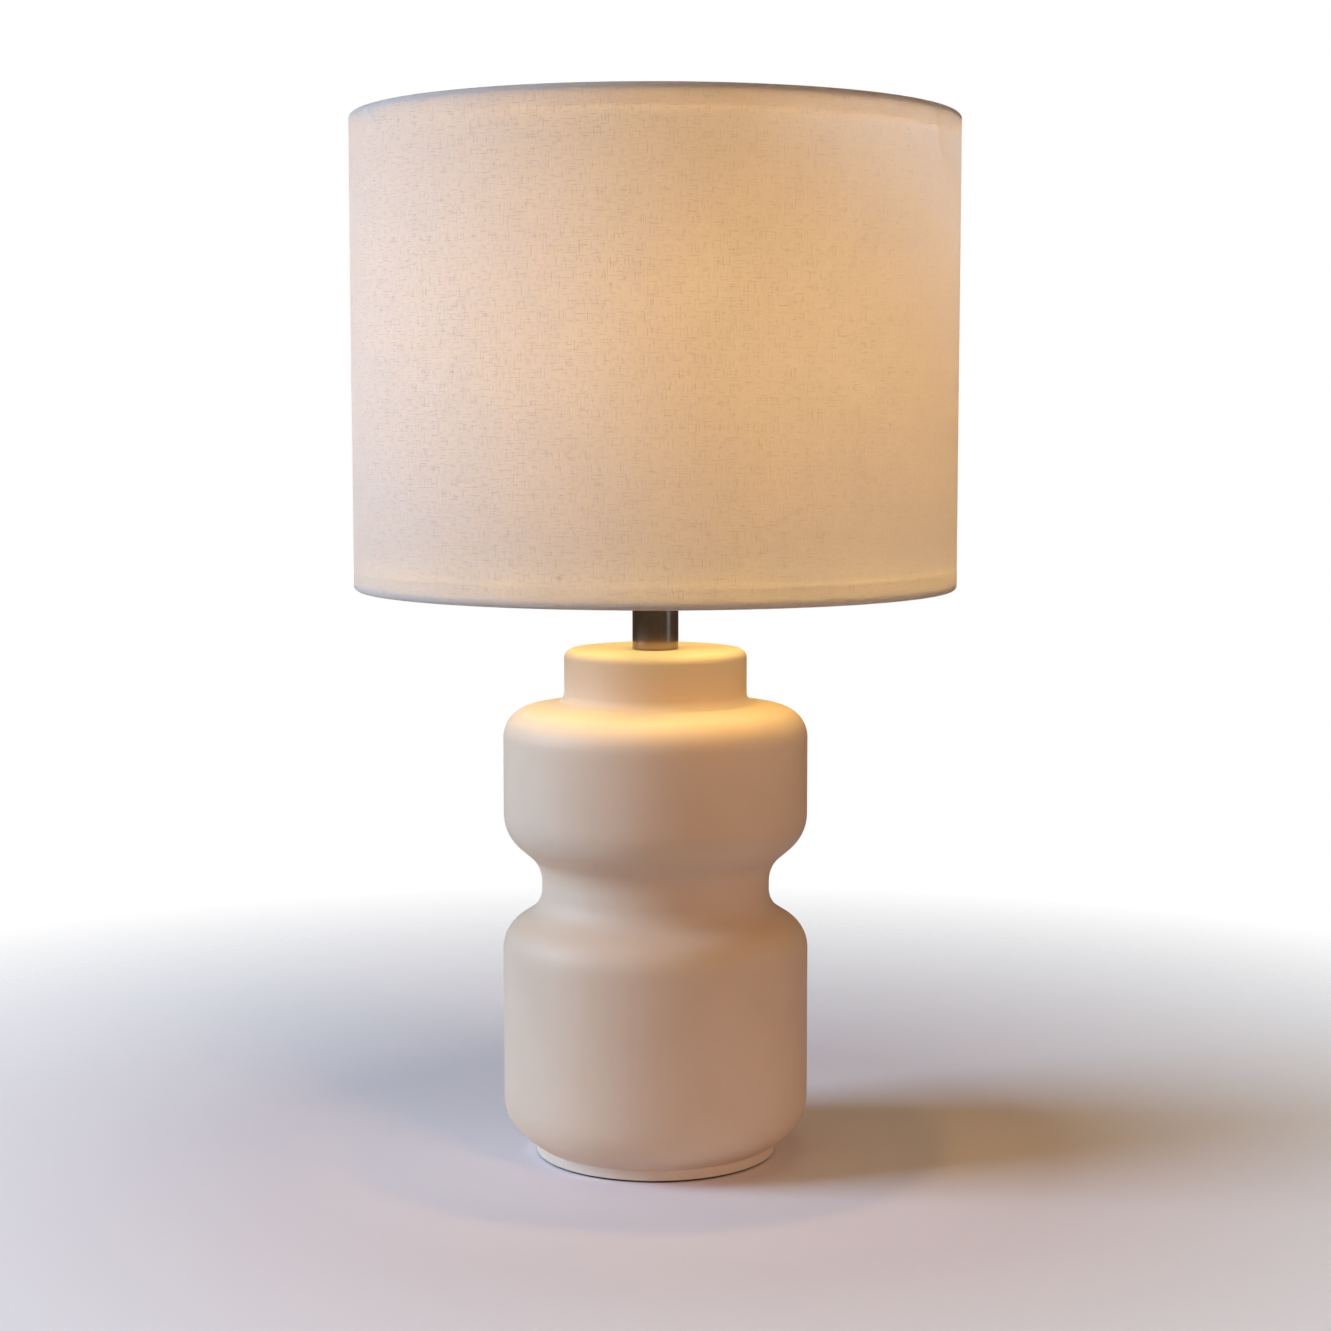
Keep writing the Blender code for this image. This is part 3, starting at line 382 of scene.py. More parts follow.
room = {
    "wall": (1.0, 1.0, 1.0),
    "ambient": (0.100, 0.076, 0.064),
    "floor": {
        "colour": (0.90, 0.82, 0.82), "reach": 1.2, "height": -0.0001,
        "clearBy": 0.8, "clearFrom": 0.28,  # from this share of clearBy on
    },
    "window": {
        "at": (-2.2, -0.35, 1.1), "aim": (0, 0, 0.3), "size": 1.1, "power": 56, "colour": (0.62, 0.85, 1.19),
    },
    "fill": {
        "at": (1.2, -1.6, 1.1), "aim": (0, 0, 0.13), "size": 0.6, "power": 0.56,
        "colour": (1.0, 0.60, 0.34), "spread": 36,  # degrees
    },
    "edge": {
        "at": (2.0, -0.75, 0.5), "aim": (0, 0, 0.3), "size": 0.6, "power": 2.1, "colour": (0.78, 0.90, 1.12),
    },
    "bulb": {  # inside the globe, a little forward
        "at": (0.005, -0.018, 0.4583), "size": 0.010, "power": 1.22, "colour": (1.0, 0.585, 0.18),
    },
    "spill": {  # what comes down out of the shade's open bottom
        "at": (0, 0, 0.345), "aim": (0, 0, 0), "size": 0.255, "power": 0.205, "colour": (0.90, 0.80, 0.27),
    },
}


def light(name, kind, facts):
    lamp = bpy.data.lights.new(name, kind)
    lamp.energy, lamp.color = facts["power"], facts["colour"]
    holder = bpy.data.objects.new(name, lamp)
    holder.location = facts["at"]
    if kind == "AREA":
        lamp.size = facts["size"]
        towards = Vector(facts["aim"]) - Vector(facts["at"])
        holder.rotation_euler = towards.to_track_quat("-Z", "Y").to_euler()
    else:
        lamp.shadow_soft_size = facts["size"]
    bpy.context.scene.collection.objects.link(holder)
    return holder


light("window", "AREA", room["window"])
fill = light("fill", "AREA", room["fill"])
fill.data.spread = math.radians(room["fill"]["spread"])
light("edge", "AREA", room["edge"])
bulbLight = light("bulb_light", "POINT", room["bulb"])
spill = light("shade_spill", "AREA", room["spill"])
spill.data.shape = "DISK"
bulbLight.visible_camera = spill.visible_camera = False

world = bpy.data.worlds.new("studio")
bpy.context.scene.world = world
world.use_nodes = True
worldNodes, worldLinks = world.node_tree.nodes, world.node_tree.links
worldNodes.clear()
seen = worldNodes.new("ShaderNodeLightPath")
wall = worldNodes.new("ShaderNodeBackground")
wall.inputs["Color"].default_value = (*room["wall"], 1)
ambient = worldNodes.new("ShaderNodeBackground")
ambient.inputs["Color"].default_value = (*room["ambient"], 1)
either = worldNodes.new("ShaderNodeMixShader")
worldOut = worldNodes.new("ShaderNodeOutputWorld")
worldLinks.new(seen.outputs["Is Camera Ray"], either.inputs[0])
worldLinks.new(ambient.outputs[0], either.inputs[1])
worldLinks.new(wall.outputs[0], either.inputs[2])
worldLinks.new(either.outputs[0], worldOut.inputs["Surface"])


def floorFinish():
    # Pale floor that gives way to the white wall: a ramp on |p| / clearBy, from clearFrom to 1.
    f = Finish("floor_pale")
    away = f.node("ShaderNodeVectorMath", {"operation": "LENGTH"}, {0: f.spot()}, "Value")
    gone = f.ramp(away / room["floor"]["clearBy"], (room["floor"]["clearFrom"], 0.0), (1.0, 1.0))
    surface = f.paint(Base_Color=room["floor"]["colour"], Roughness=0.85)
    clear = f.node("ShaderNodeBsdfTransparent")
    return f.done(f.node("ShaderNodeMixShader", {}, {0: gone, 1: surface, 2: clear}))


floorMesh = bpy.data.meshes.new("floor")
reach, level = room["floor"]["reach"], room["floor"]["height"]
floorMesh.from_pydata([
    (-reach, -reach, level), (reach, -reach, level), (reach, reach, level), (-reach, reach, level)
], [], [(0, 1, 2, 3)])
floor = bpy.data.objects.new("floor", floorMesh)
floor.data.materials.append(floorFinish())
bpy.context.scene.collection.objects.link(floor)
print("camera, light and floor set")


# Finishes.
glaze = {
    "pale": (0.785, 0.595, 0.43), "deep": (0.745, 0.555, 0.39), "speck": (0.55, 0.44, 0.34),
    "bare": (0.76, 0.615, 0.48), "bareBelow": 0.0064,
}


def ceramicFinish():
    # Cream matt glaze: slow noise tints it, fine noise roughens it, and the foot is bare and rougher.
    f = Finish("ceramic_matt_glaze")
    spot = f.place()
    slow = f.noise(spot, 14, 2)
    fine = f.noise(spot, 420, 3)
    grit = f.noise(spot, 1500, 2)
    rings = f.noise(f.place((6, 6, 260)), 1, 2)
    tint = f.ramp(slow, (0.32, glaze["deep"]), (0.68, glaze["pale"]))
    bare = f.height() < glaze["bareBelow"]
    speck = f.ramp(f.noise(spot, 900, 1), (0.70, 0.0), (0.78, 1.0))
    tint = f.blend(speck * 0.10, tint, glaze["speck"])
    tint = f.blend(bare, tint, glaze["bare"])
    relief = fine * 0.5 + grit * 0.25 + rings * 0.6
    rough = 0.50 + fine * 0.16 + bare * 0.25
    return f.done(f.paint(
        Base_Color=tint, Roughness=rough, Normal=f.bump(relief, 0.00009),
        Specular_IOR_Level=0.42, Coat_Roughness=0.55, Coat_IOR=1.4, Coat_Weight=0.08,
    ))


linen = {
    "yarn": 0.00055,  # from one thread to the next
    "middle": 0.443, "halfHeight": 0.127,
    "tuckedWithin": 0.1636,  # what lies nearer the axis is the edge turned up inside
    "pale": (0.89, 0.88, 0.87), "dull": (0.82, 0.805, 0.79), "thick": (0.66, 0.59, 0.50),
    # edge is painted light: a painted warm glow and painted shade of the ring wires at the rims
    "between": (0.66, 0.60, 0.53), "edge": (0.80, 0.67, 0.54),
}


def towardsRings(f):
    # 0 half way up the shade and 1 at its two edges: the square of the share of the way to them.
    share = (f.height() - linen["middle"]) / linen["halfHeight"]
    return share * share


def linenFinish():
    # Plain weave on the cloth's own flat lengths: warp times weft, with thick yarns where noise drawn out
    # along each yarn is high. Light from inside comes through less where yarns are thick and at the rims,
    # and more through the turned-up edges, so that their second layer doesn't show as a dark band.
    f = Finish("linen_plain_weave")
    warp, weft = (
        (f.node("ShaderNodeSeparateXYZ", {}, {0: f.flat()}, axis) * (math.tau / linen["yarn"])).sine()
        for axis in "XY"
    )
    weave = warp * weft * 0.5 + 0.5
    thickUp, thickLevel = (
        f.ramp(f.noise(f.flat(drawn), 1, 2, 0.5), (0.58, 0.0), (0.70, 1.0))
        for drawn in ((1500, 150, 1), (150, 1500, 1))
    )
    shadeUp, shadeLevel = (f.noise(f.flat(drawn), 1, 3, 0.6) for drawn in ((900, 16, 1), (16, 900, 1)))
    slub, yarnShade = thickUp + thickLevel, shadeUp * 0.5 + shadeLevel * 0.5
    cloudy = f.noise(f.flat((22, 22, 1)), 1, 3, 0.5)
    rim = f.ramp(towardsRings(f), (0.945, 0.0), (0.985, 1.0))
    tint = f.ramp(yarnShade, (0.34, linen["dull"]), (0.66, linen["pale"]))
    tint = f.blend(slub * 0.28, tint, linen["thick"])
    tint = f.blend(weave * 0.10, tint, linen["between"])
    # Painted light: the rims are tinted warmer and a little darker, a painted warm glow and painted shade of
    # the ring wires inside them.
    tint = f.blend(rim * 0.7, tint, linen["edge"])
    relief = weave * 0.45 + slub * 0.8 + yarnShade * 0.5
    cloth = f.paint(
        Base_Color=tint, Roughness=0.86, Normal=f.bump(relief, 0.00022),
        Sheen_Weight=0.25, Sheen_Roughness=0.5, Specular_IOR_Level=0.2,
    )
    through = f.node("ShaderNodeBsdfTranslucent", {}, {"Color": (0.98, 0.96, 0.93)})
    level = f.node("ShaderNodeVectorMath", {"operation": "MULTIPLY"}, {0: f.spot(), 1: (1, 1, 0)}, "Vector")
    fromAxis = f.node("ShaderNodeVectorMath", {"operation": "LENGTH"}, {0: level}, "Value")
    tucked = fromAxis < linen["tuckedWithin"]
    share = 0.60 + towardsRings(f) * 0.10 + tucked * 0.40 - rim * (1 - tucked) * 0.30
    share = share - slub * 0.115 - weave * 0.06 - cloudy * 0.06 - yarnShade * 0.08
    return f.done(f.node("ShaderNodeMixShader", {}, {0: share, 1: cloth, 2: through}))


def linerFinish():
    # Smooth white sheet laminated behind the cloth: the light spreads through it, and faint marks show.
    f = Finish("liner_white_sheet")
    cloudy = f.noise(f.place(), 60, 3)
    fine = f.noise(f.place(), 900, 2)
    tint = f.ramp(cloudy, (0.3, (0.88, 0.87, 0.84)), (0.7, (0.92, 0.91, 0.88)))
    sheet = f.paint(Base_Color=tint, Roughness=0.42 + fine * 0.16, Normal=f.bump(fine, 0.00004))
    through = f.node("ShaderNodeBsdfTranslucent", {}, {"Color": (0.98, 0.96, 0.92)})
    share = 0.42 + towardsRings(f) * 0.10 + cloudy * 0.1
    return f.done(f.node("ShaderNodeMixShader", {}, {0: share, 1: sheet, 2: through}))


def metalFinish(name, colour, dull, rough=0.2, brush=(1, 1, 1), wear=0.5, patchy=0.15):
    # Metal: hairlines drawn out by the brush scales roughen it, slow noise dulls its colour in patches.
    f = Finish(name)
    hair = f.noise(f.place(tuple(900 * b for b in brush)), 1, 3, 0.6)
    slow = f.noise(f.place(), 55, 3)
    patch = f.ramp(slow, (0.42, 0.0), (0.72, 1.0))
    tint = f.blend(patch * wear, colour, dull)
    return f.done(f.paint(
        Base_Color=tint, Metallic=1.0, Roughness=rough + hair * 0.12 + patch * patchy,
        Normal=f.bump(hair, 0.00003), Specular_IOR_Level=0.5,
    ))


def paintedFinish(name, colour, dark, rough=0.4, grain=700, depth=0.00004, fleck=0.35):
    # Paint or moulded plastic: orange-peel noise for the relief, slow noise for the shade.
    f = Finish(name)
    spot = f.place()
    peel = f.noise(spot, grain, 2)
    slow = f.noise(spot, 70, 3)
    tint = f.blend(f.ramp(slow, (0.35, 0.0), (0.75, 1.0)) * fleck, colour, dark)
    return f.done(f.paint(
        Base_Color=tint, Roughness=rough + peel * 0.14, Normal=f.bump(peel, depth),
        Specular_IOR_Level=0.5,
    ))


def feltFinish():
    # Pressed wool: short fibres from noise drawn out two ways, over a matted slow noise.
    f = Finish("felt_pressed_wool")
    one = f.noise(f.place((900, 3600, 900)), 1, 3, 0.7)
    two = f.noise(f.place((3600, 900, 900)), 1, 3, 0.7)
    slow = f.noise(f.place(), 160, 3)
    fibre = one * 0.5 + two * 0.5
    tint = f.ramp(fibre * 0.7 + slow * 0.3, (0.35, (0.028, 0.024, 0.026)), (0.7, (0.075, 0.066, 0.068)))
    return f.done(f.paint(
        Base_Color=tint, Roughness=0.95, Normal=f.bump(fibre, 0.0003),
        Sheen_Weight=0.4, Sheen_Roughness=0.6, Specular_IOR_Level=0.15,
    ))


def cardFinish():
    # Brown fibre board: fibres from drawn-out noise, darker where they lie thick.
    f = Finish("card_fibre")
    fibre = f.noise(f.place((500, 500, 2600)), 1, 4, 0.65)
    tint = f.ramp(fibre, (0.35, (0.17, 0.105, 0.055)), (0.7, (0.36, 0.25, 0.15)))
    return f.done(f.paint(Base_Color=tint, Roughness=0.8, Normal=f.bump(fibre, 0.0001)))


def globeFinish():
    # Frosted cover over the light: its glow's tint climbs from deep to pale amber with the height.
    f = Finish("globe_frosted")
    fine = f.noise(f.place(), 800, 2)
    tint = f.ramp((f.height() - 0.440) / 0.05, (0.0, (1.0, 0.58, 0.25)), (0.6, (1.0, 0.76, 0.44)))
    return f.done(f.paint(
        Base_Color=(0.93, 0.92, 0.90), Roughness=0.45 + fine * 0.1, Normal=f.bump(fine, 0.00004),
        Emission_Color=tint, Emission_Strength=0.9,
    ))


finishes = {
    "ceramic": ceramicFinish(),
    "linen": linenFinish(),
    "liner": linerFinish(),
    "felt": feltFinish(),
    "card": cardFinish(),
    "globe": globeFinish(),
    "darkNickel": metalFinish(
        "nickel_dark", (0.34, 0.275, 0.22), (0.28, 0.225, 0.175), 0.15, (1, 1, 0.02), 0.3, 0.03),
    "brass": metalFinish("brass_plain", (0.80, 0.58, 0.27), (0.58, 0.40, 0.19), 0.22, (1, 1, 0.3)),
    "nickel": metalFinish("nickel_bright", (0.72, 0.70, 0.67), (0.52, 0.50, 0.47), 0.2),
    "zinc": metalFinish("zinc_plated", (0.62, 0.63, 0.64), (0.44, 0.45, 0.46), 0.32, (1, 1, 1), 0.6, 0.2),
    "whiteMetal": paintedFinish("metal_painted_white", (0.82, 0.81, 0.78), (0.70, 0.68, 0.64), 0.34),
    "blackPlastic": paintedFinish("plastic_black", (0.018, 0.017, 0.017), (0.035, 0.033, 0.032), 0.3),
    "whitePlastic": paintedFinish("plastic_white", (0.84, 0.83, 0.80), (0.76, 0.74, 0.70), 0.38),
    "rubber": paintedFinish("rubber_grey", (0.10, 0.095, 0.09), (0.16, 0.15, 0.14), 0.62, 500, 0.0001),
    "phenolic": paintedFinish(
        "phenolic_brown", (0.05, 0.028, 0.018), (0.10, 0.06, 0.035), 0.3, 300, 0.00005, 0.8),
}
print("finishes made:", len(finishes))


# Ceramic body.
body = {
    "bottom": 1.8,  # the foot stands on the felt
    "outside": [
        (66.1, 0.0, 0), (66.1, -0.7, 0.2), (66.8, -0.7, 0.45), (66.8, 5.0, 1.0), (84.7, 17.1, 26.3),
        (84.7, 124.5, 19.5), (63.1, 138.4, 15.0), (63.1, 160.2, 19.5), (84.1, 178.4, 24.0),
        (84.1, 245.7, 16.5), (50.4, 251.4, 6.0), (50.4, 280.3, 4.7), (9.7, 280.3, 0.4),
    ],
    "inside": [
        (9.7, 274.3, 0), (44.4, 274.3, 1.0), (44.4, 246.0, 11.0), (78.1, 240.2, 10.0),
        (78.1, 181.6, 16.0), (57.1, 163.4, 24.0), (57.1, 135.0, 20.0), (78.7, 121.0, 13.0),
        (78.7, 20.5, 6.0), (28.0, 20.5, 0.4), (28.0, 14.5, 0.4), (57.8, 14.5, 1.0), (57.8, 0.0, 0.9),
    ],
    "sectors": 160,
}

outline = roundedLine(body["outside"] + body["inside"], steps=16)
outline = refined(np.concatenate([outline, outline[:1]]), 6)[:-1]
outline[:, 1] += body["bottom"]
ceramic = build(
    "ceramic_vessel", finishes["ceramic"], "base", ["ceramic_body"],
    [turnedSurface(outline, body["sectors"])], sharp=60,
)
grommet = {
    "height": 36.0, "hole": 5.2, "neck": 4.9, "bore": 3.4, "flange": 7.5, "inner": 77.7, "outer": 85.0,
    "thick": 2.0,
}
cutFrom(ceramic, moved(drill(grommet["hole"], 70, 92, 48), (0, 0, grommet["height"]), toBack))
print("ceramic body made")


# Base and foot.
def ringOutline(inner, outer, low, high, rounding=0.3):
    return roundedLine([
        (inner, low, rounding), (outer, low, rounding), (outer, high, rounding), (inner, high, rounding)
    ], 4)


foot = {
    "felt": (57.8, 65.8, 0, 1.5), "washer": (5.5, 9.5, 12.7, 13.7),  # inner, outer, low, high
    "plate": [
        (5.5, 14.0, 0.2), (36.0, 14.0, 1.2), (37.2, 14.4, 1.2), (42.0, 14.4, 0.4), (42.0, 16.0, 0.4),
        (5.5, 16.0, 0.2),
    ],
    "cordHole": 4.5, "cordAt": 18,  # behind the axis
    "nut": (14.3, 5.2, 8.4, 12.4),  # across flats, bore, low, high
}

build("felt_foot", finishes["felt"], "base", ["felt_ring"], [
    turnedSurface(refined(ringOutline(*foot["felt"]), 1.5), 180)
])
plate = build("bottom_plate", finishes["zinc"], "base", ["base_plate"], [
    turnedSurface(refined(roundedLine(foot["plate"], 4), 4), 120)
])
cutFrom(plate, moved(drill(foot["cordHole"], 10, 20, 32), (0, foot["cordAt"], 0)))
build("bottom_washer", finishes["zinc"], "base", ["base_washer"], [
    turnedSurface(ringOutline(*foot["washer"]), 72)
])


def threadedSurface(crest, depth, pitch, low, high, inner, sectors=48, perTurn=8):
    # A screw: radius = crest - depth * (1 + cos(2 pi z / pitch - a)) / 2, inside it a plain bore.
    heights = np.linspace(low, high, max(4, int((high - low) / pitch * perTurn)))
    line = np.concatenate([
        [(inner, low), (crest - depth, low)], np.stack([np.full_like(heights, crest), heights], -1)[1:-1],
        [(crest - depth, high), (inner, high)],
    ])
    deep = np.concatenate([[0, 0], np.full(len(heights) - 2, depth), [0, 0]])

    def screw(angle, height):
        return -deep * 0.5 * (1 + np.cos(math.tau * height / pitch - angle))

    return turnedSurface(line, sectors, swell=screw)


pipe = {
    "thread": (5.1, 0.45, 0.94),  # crest, depth, pitch
    "plain": 4.9, "bore": 3.5,
    "heights": (6.8, 30.0, 326.0, 349.2),  # the threads' ends, from the lowest
}

pipeLow, plainLow, plainHigh, pipeHigh = pipe["heights"]
build("lamp_pipe_threaded", finishes["zinc"], "base", ["lamp_pipe"], [
    threadedSurface(*pipe["thread"], pipeLow, plainLow, pipe["bore"]),
    turnedSurface(ringOutline(pipe["bore"], pipe["plain"], plainLow, plainHigh), 48),
    threadedSurface(*pipe["thread"], plainHigh, pipeHigh, pipe["bore"]),
])


def hexSurface(flats, bore, low, high, chamfer=0.5, sectors=96):
    # A six-sided nut: radius = apothem / cos(angle from the nearest flat), cut back by a cone at each end.
    angles = math.tau * np.arange(sectors) / sectors
    heights = np.concatenate([np.linspace(low, low + 1.2, 7), np.linspace(high - 1.2, high, 7)])
    flat = (flats / 2) / np.cos((angles + math.pi / 6) % (math.pi / 3) - math.pi / 6)
    cone = flats / 2 - 0.15 + np.minimum(heights - low, high - heights) / math.tan(math.radians(30))
    outer = np.minimum(flat[:, None], cone[None])
    radius = np.concatenate([
        np.full((sectors, 1), bore + chamfer), outer, np.full((sectors, 1), bore + chamfer),
        np.full((sectors, 2), bore),
    ], axis=1)
    height = np.concatenate([[low], heights, [high], [high - chamfer, low + chamfer]])
    points = np.stack([
        radius * np.cos(angles)[:, None], radius * np.sin(angles)[:, None],
        height[None] * np.ones((sectors, 1)),
    ], axis=-1)
    return gridSurface(points, True, True)


build("bottom_nut", finishes["brass"], "base", ["base_nut"], [hexSurface(*foot["nut"])], sharp=25)

grommetLine = roundedLine([
    (grommet["bore"], grommet["inner"] - grommet["thick"], 0.6),
    (grommet["flange"] - 1, grommet["inner"] - grommet["thick"], 0.8),
    (grommet["flange"] - 1, grommet["inner"], 0.5),
    (grommet["neck"], grommet["inner"], 0.3), (grommet["neck"], grommet["outer"], 0.3),
    (grommet["flange"], grommet["outer"], 0.5),
    (grommet["flange"] - 0.6, grommet["outer"] + grommet["thick"], 1.2),
    (grommet["bore"], grommet["outer"] + grommet["thick"], 0.9),
], 6)
build("cord_grommet_soft", finishes["rubber"], "base", ["cord_grommet"], [
    moved(turnedSurface(grommetLine, 64), (0, 0, grommet["height"]), toBack)
])
print("foot and base plate made")


# Neck and saddle.
neck = {
    "radius": 12.7, "wall": 1.0, "low": 282.4, "high": 331.2,
    "cap": [
        (5.5, 326.2, 0), (11.3, 326.2, 0.3), (11.3, 331.5, 0), (12.7, 331.5, 0.3), (12.7, 333.5, 0.9),
        (5.5, 333.5, 0.2),
    ],
}

build("neck_tube_polished", finishes["darkNickel"], "base", ["neck_tube"], [turnedSurface(refined(
    ringOutline(neck["radius"] - neck["wall"], neck["radius"], neck["low"], neck["high"], 0.35), 5), 128)])
build("neck_cap_polished", finishes["darkNickel"], "base", ["neck_cap"], [
    turnedSurface(roundedLine(neck["cap"], 6), 128)
])

saddle = {
    "low": 333.8, "thick": 1.6, "wide": 13.0, "armX": 29.8, "armTop": 367.8, "bend": 10.2,
    "tabWide": 4.0, "tabHigh": 9.0,
}

half = saddle["thick"] / 2
armMid, stripMid, stripEnd = saddle["armX"] - half, saddle["low"] + half, saddle["armTop"] - 0.4
saddlePath = roundedLine([
    (armMid, stripEnd), (armMid, stripMid, saddle["bend"]), (-armMid, stripMid, saddle["bend"]),
    (-armMid, stripEnd),
], 14)
saddlePath = refined(saddlePath, 1.2)
sectionAngle = math.tau * np.arange(28) / 28
# A flat bar with rounded edges, a superellipse: cos and sin keep their signs, their sizes to a low power.
saddleSection = np.stack([
    half * np.sign(np.cos(sectionAngle)) * np.abs(np.cos(sectionAngle)) ** 0.3,
    np.sign(np.sin(sectionAngle)) * np.abs(np.sin(sectionAngle)) ** 0.12,
], axis=-1)
fromTop = np.clip((saddle["armTop"] - saddlePath[:, 1] - saddle["tabHigh"] + 1.5) / 2.5, 0, 1)
fromTop = fromTop * fromTop * (3 - 2 * fromTop)
saddleWide = (saddle["tabWide"] + (saddle["wide"] - saddle["tabWide"]) * fromTop) / 2
saddleStretch = np.stack([np.ones_like(saddleWide), saddleWide], axis=-1)
saddleLine = np.stack([saddlePath[:, 0], np.zeros(len(saddlePath)), saddlePath[:, 1]], axis=-1)
build("harp_saddle_strip", finishes["brass"], "base", ["harp_saddle"], [
    carriedSurface(saddleLine, saddleSection, (0, 1, 0), stretch=saddleStretch,
                   ends=[(0.0, 0.4), (0.7, 0.4), (0.93, 0.25)])
], sharp=50)


saddleNut = {
    "ring": (5.5, 8.5, 335.7, 338.9, 0.4),  # inner, outer, low, high, rounding
    "grooves": 36, "depth": 0.35, "low": 336.0, "high": 338.6,
}


def nutGrooves(angle, height):
    # Grooves round the nut, -depth * |sin(count a / 2)|, shallower at both ends.
    low, high = saddleNut["low"], saddleNut["high"]
    ease = np.clip((np.minimum(height - low, high - height) + 0.1) / 0.4, 0, 1)
    groove = -saddleNut["depth"] * np.abs(np.sin(saddleNut["grooves"] * angle / 2)) * ease
    return np.where((height > low) & (height < high), groove, 0.0)


build("saddle_nut_knurled", finishes["brass"], "base", ["saddle_nut"], [
    turnedSurface(refined(ringOutline(*saddleNut["ring"]), 0.5), 216, swell=nutGrooves)
])
print("neck and saddle made")


# Socket.
socket = {
    "cap": [
        (5.5, 339.2, 0.2), (8.0, 339.2, 0.7), (8.0, 346.6, 2.2), (14.6, 350.2, 3.0), (17.5, 355.4, 1.8),
        (17.5, 356.6, 0.4), (17.1, 357.1, 0.4), (17.1, 358.4, 0.4), (17.5, 358.9, 0.4),
        (17.5, 360.7, 0.25), (16.95, 360.7, 0.2), (16.95, 355.9, 1.2), (14.1, 350.9, 2.4),
        (7.4, 347.2, 0.5), (5.5, 347.2, 0),
    ],
    "shell": [
        (16.0, 355.7, 0.1), (16.6, 355.7, 0.1), (16.6, 362.6, 0.5), (16.15, 363.3, 0.6),
        (16.6, 364.0, 0.5), (16.6, 378.6, 0.5), (16.2, 379.3, 0.6), (16.6, 380.0, 0.5),
        (16.6, 392.8, 0.8), (16.2, 394.0, 0.8), (16.6, 395.6, 0.8), (16.6, 397.7, 0.28),
        (16.0, 397.7, 0.28),
    ],
    "liner": (15.1, 15.7, 356.7, 396.7),  # inner, outer, low, high
    "screwAt": 342.9,
    "screwShell": [(13.7, 394.7), (13.7, 378.3, 1.0), (10.1, 378.3)], "shellWall": 0.5,
    "threadPitch": 3.63, "shellThread": (380.0, 394.5), "shellDepth": 0.25,
}

capLine = roundedLine(socket["cap"], 6)
build("socket_cap_spun", finishes["brass"], "base", ["socket_cap"], [
    turnedSurface(refined(capLine, 1.5), 128)
])
setScrew = roundedLine([(0, 5.5), (1.5, 5.5, 0.2), (1.5, 11.5, 0.4), (0, 11.5)], 4)
build("set_screw", finishes["zinc"], "base", ["socket_set_screw"], [
    moved(turnedSurface(setScrew, 32, closed=False), (0, 0, socket["screwAt"]), toBack)
])
shellLine = roundedLine(socket["shell"], 6)
build("socket_shell_rolled", finishes["brass"], "base", ["socket_shell"], [
    turnedSurface(refined(shellLine, 2.0), 128)
])
build("socket_liner_card", finishes["card"], "base", ["socket_liner"], [
    turnedSurface(refined(ringOutline(*socket["liner"], 0.1), 4), 96)
])


def rolledThread(depth, pitch, low, high):
    # A rolled screw thread: depth * (1 + cos(2 pi z / pitch - a)) / 2 further in, eased to its ends.
    def roll(angle, height):
        ease = np.clip(np.minimum(height - low, high - height) / (pitch * 0.5), 0, 1)
        return -depth * 0.5 * (1 + np.cos(math.tau * height / pitch - angle)) * ease
    return roll


screwShellLine = thickened(refined(roundedLine(socket["screwShell"], 6), 0.5), socket["shellWall"])
shellThread = rolledThread(-socket["shellDepth"], socket["threadPitch"], *socket["shellThread"])
build("screw_shell_rolled", finishes["brass"], "base", ["screw_shell"], [
    turnedSurface(screwShellLine, 96, swell=shellThread)
])

knob = {
    "z": 370.7, "start": 26.6, "halfWide": 7.5, "halfTall": 3.5, "ribs": 9, "ribDepth": 0.28,
    "ribsFrom": 3.6, "ribsTo": 11.2,
    "shape": [  # share of the section, distance along the axis
        (0, 0), (0.62, 0, 0.1), (0.74, 1.6, 0.4), (1.0, 4.2, 2.5), (0.97, 10.6, 2.0), (0.80, 12.0, 0.6),
        (0, 12.0),
    ],
    "spindle": [(0, 9.2), (1.6, 9.2, 0.2), (1.6, 34.0, 0.3), (0, 34.0)],
}

knobAngle = math.tau * np.arange(144) / 144
cosine, sine = np.cos(knobAngle), np.sin(knobAngle)
# The knob's section is a superellipse; along its axis it swells from a collar, then closes in a low dome.
knobShape = refined(roundedLine(knob["shape"], 7), 0.6)
wide = np.sign(cosine) * np.abs(cosine) ** 0.55 * knob["halfWide"]
tall = np.sign(sine) * np.abs(sine) ** 0.75 * knob["halfTall"]
ribbing = np.cos(math.pi * wide / knob["halfWide"] * knob["ribs"])
ribbing = knob["ribDepth"] * (0.5 + 0.5 * ribbing) * np.abs(sine) ** 2
ease = np.clip(np.minimum(knobShape[:, 1] - knob["ribsFrom"], knob["ribsTo"] - knobShape[:, 1]), 0, 1)
knobPoints = np.stack([
    wide[:, None] * knobShape[None, :, 0],
    (tall[:, None] - np.sign(tall)[:, None] * ribbing[:, None] * ease[None]) * knobShape[None, :, 0],
    knobShape[None, :, 1] * np.ones((len(knobAngle), 1)),
], axis=-1)
build("turn_knob_ribbed", finishes["blackPlastic"], "switch", ["turn_knob"], [
    moved(gridSurface(knobPoints, True, False), (0, -knob["start"], knob["z"]), toFront)
], sharp=50)
spindleLine = roundedLine(knob["spindle"], 4)
build("switch_spindle_turned", finishes["brass"], "switch", ["switch_spindle"], [
    moved(turnedSurface(spindleLine, 32, closed=False), (0, 0, knob["z"]), toFront)
])
print("socket and switch made")


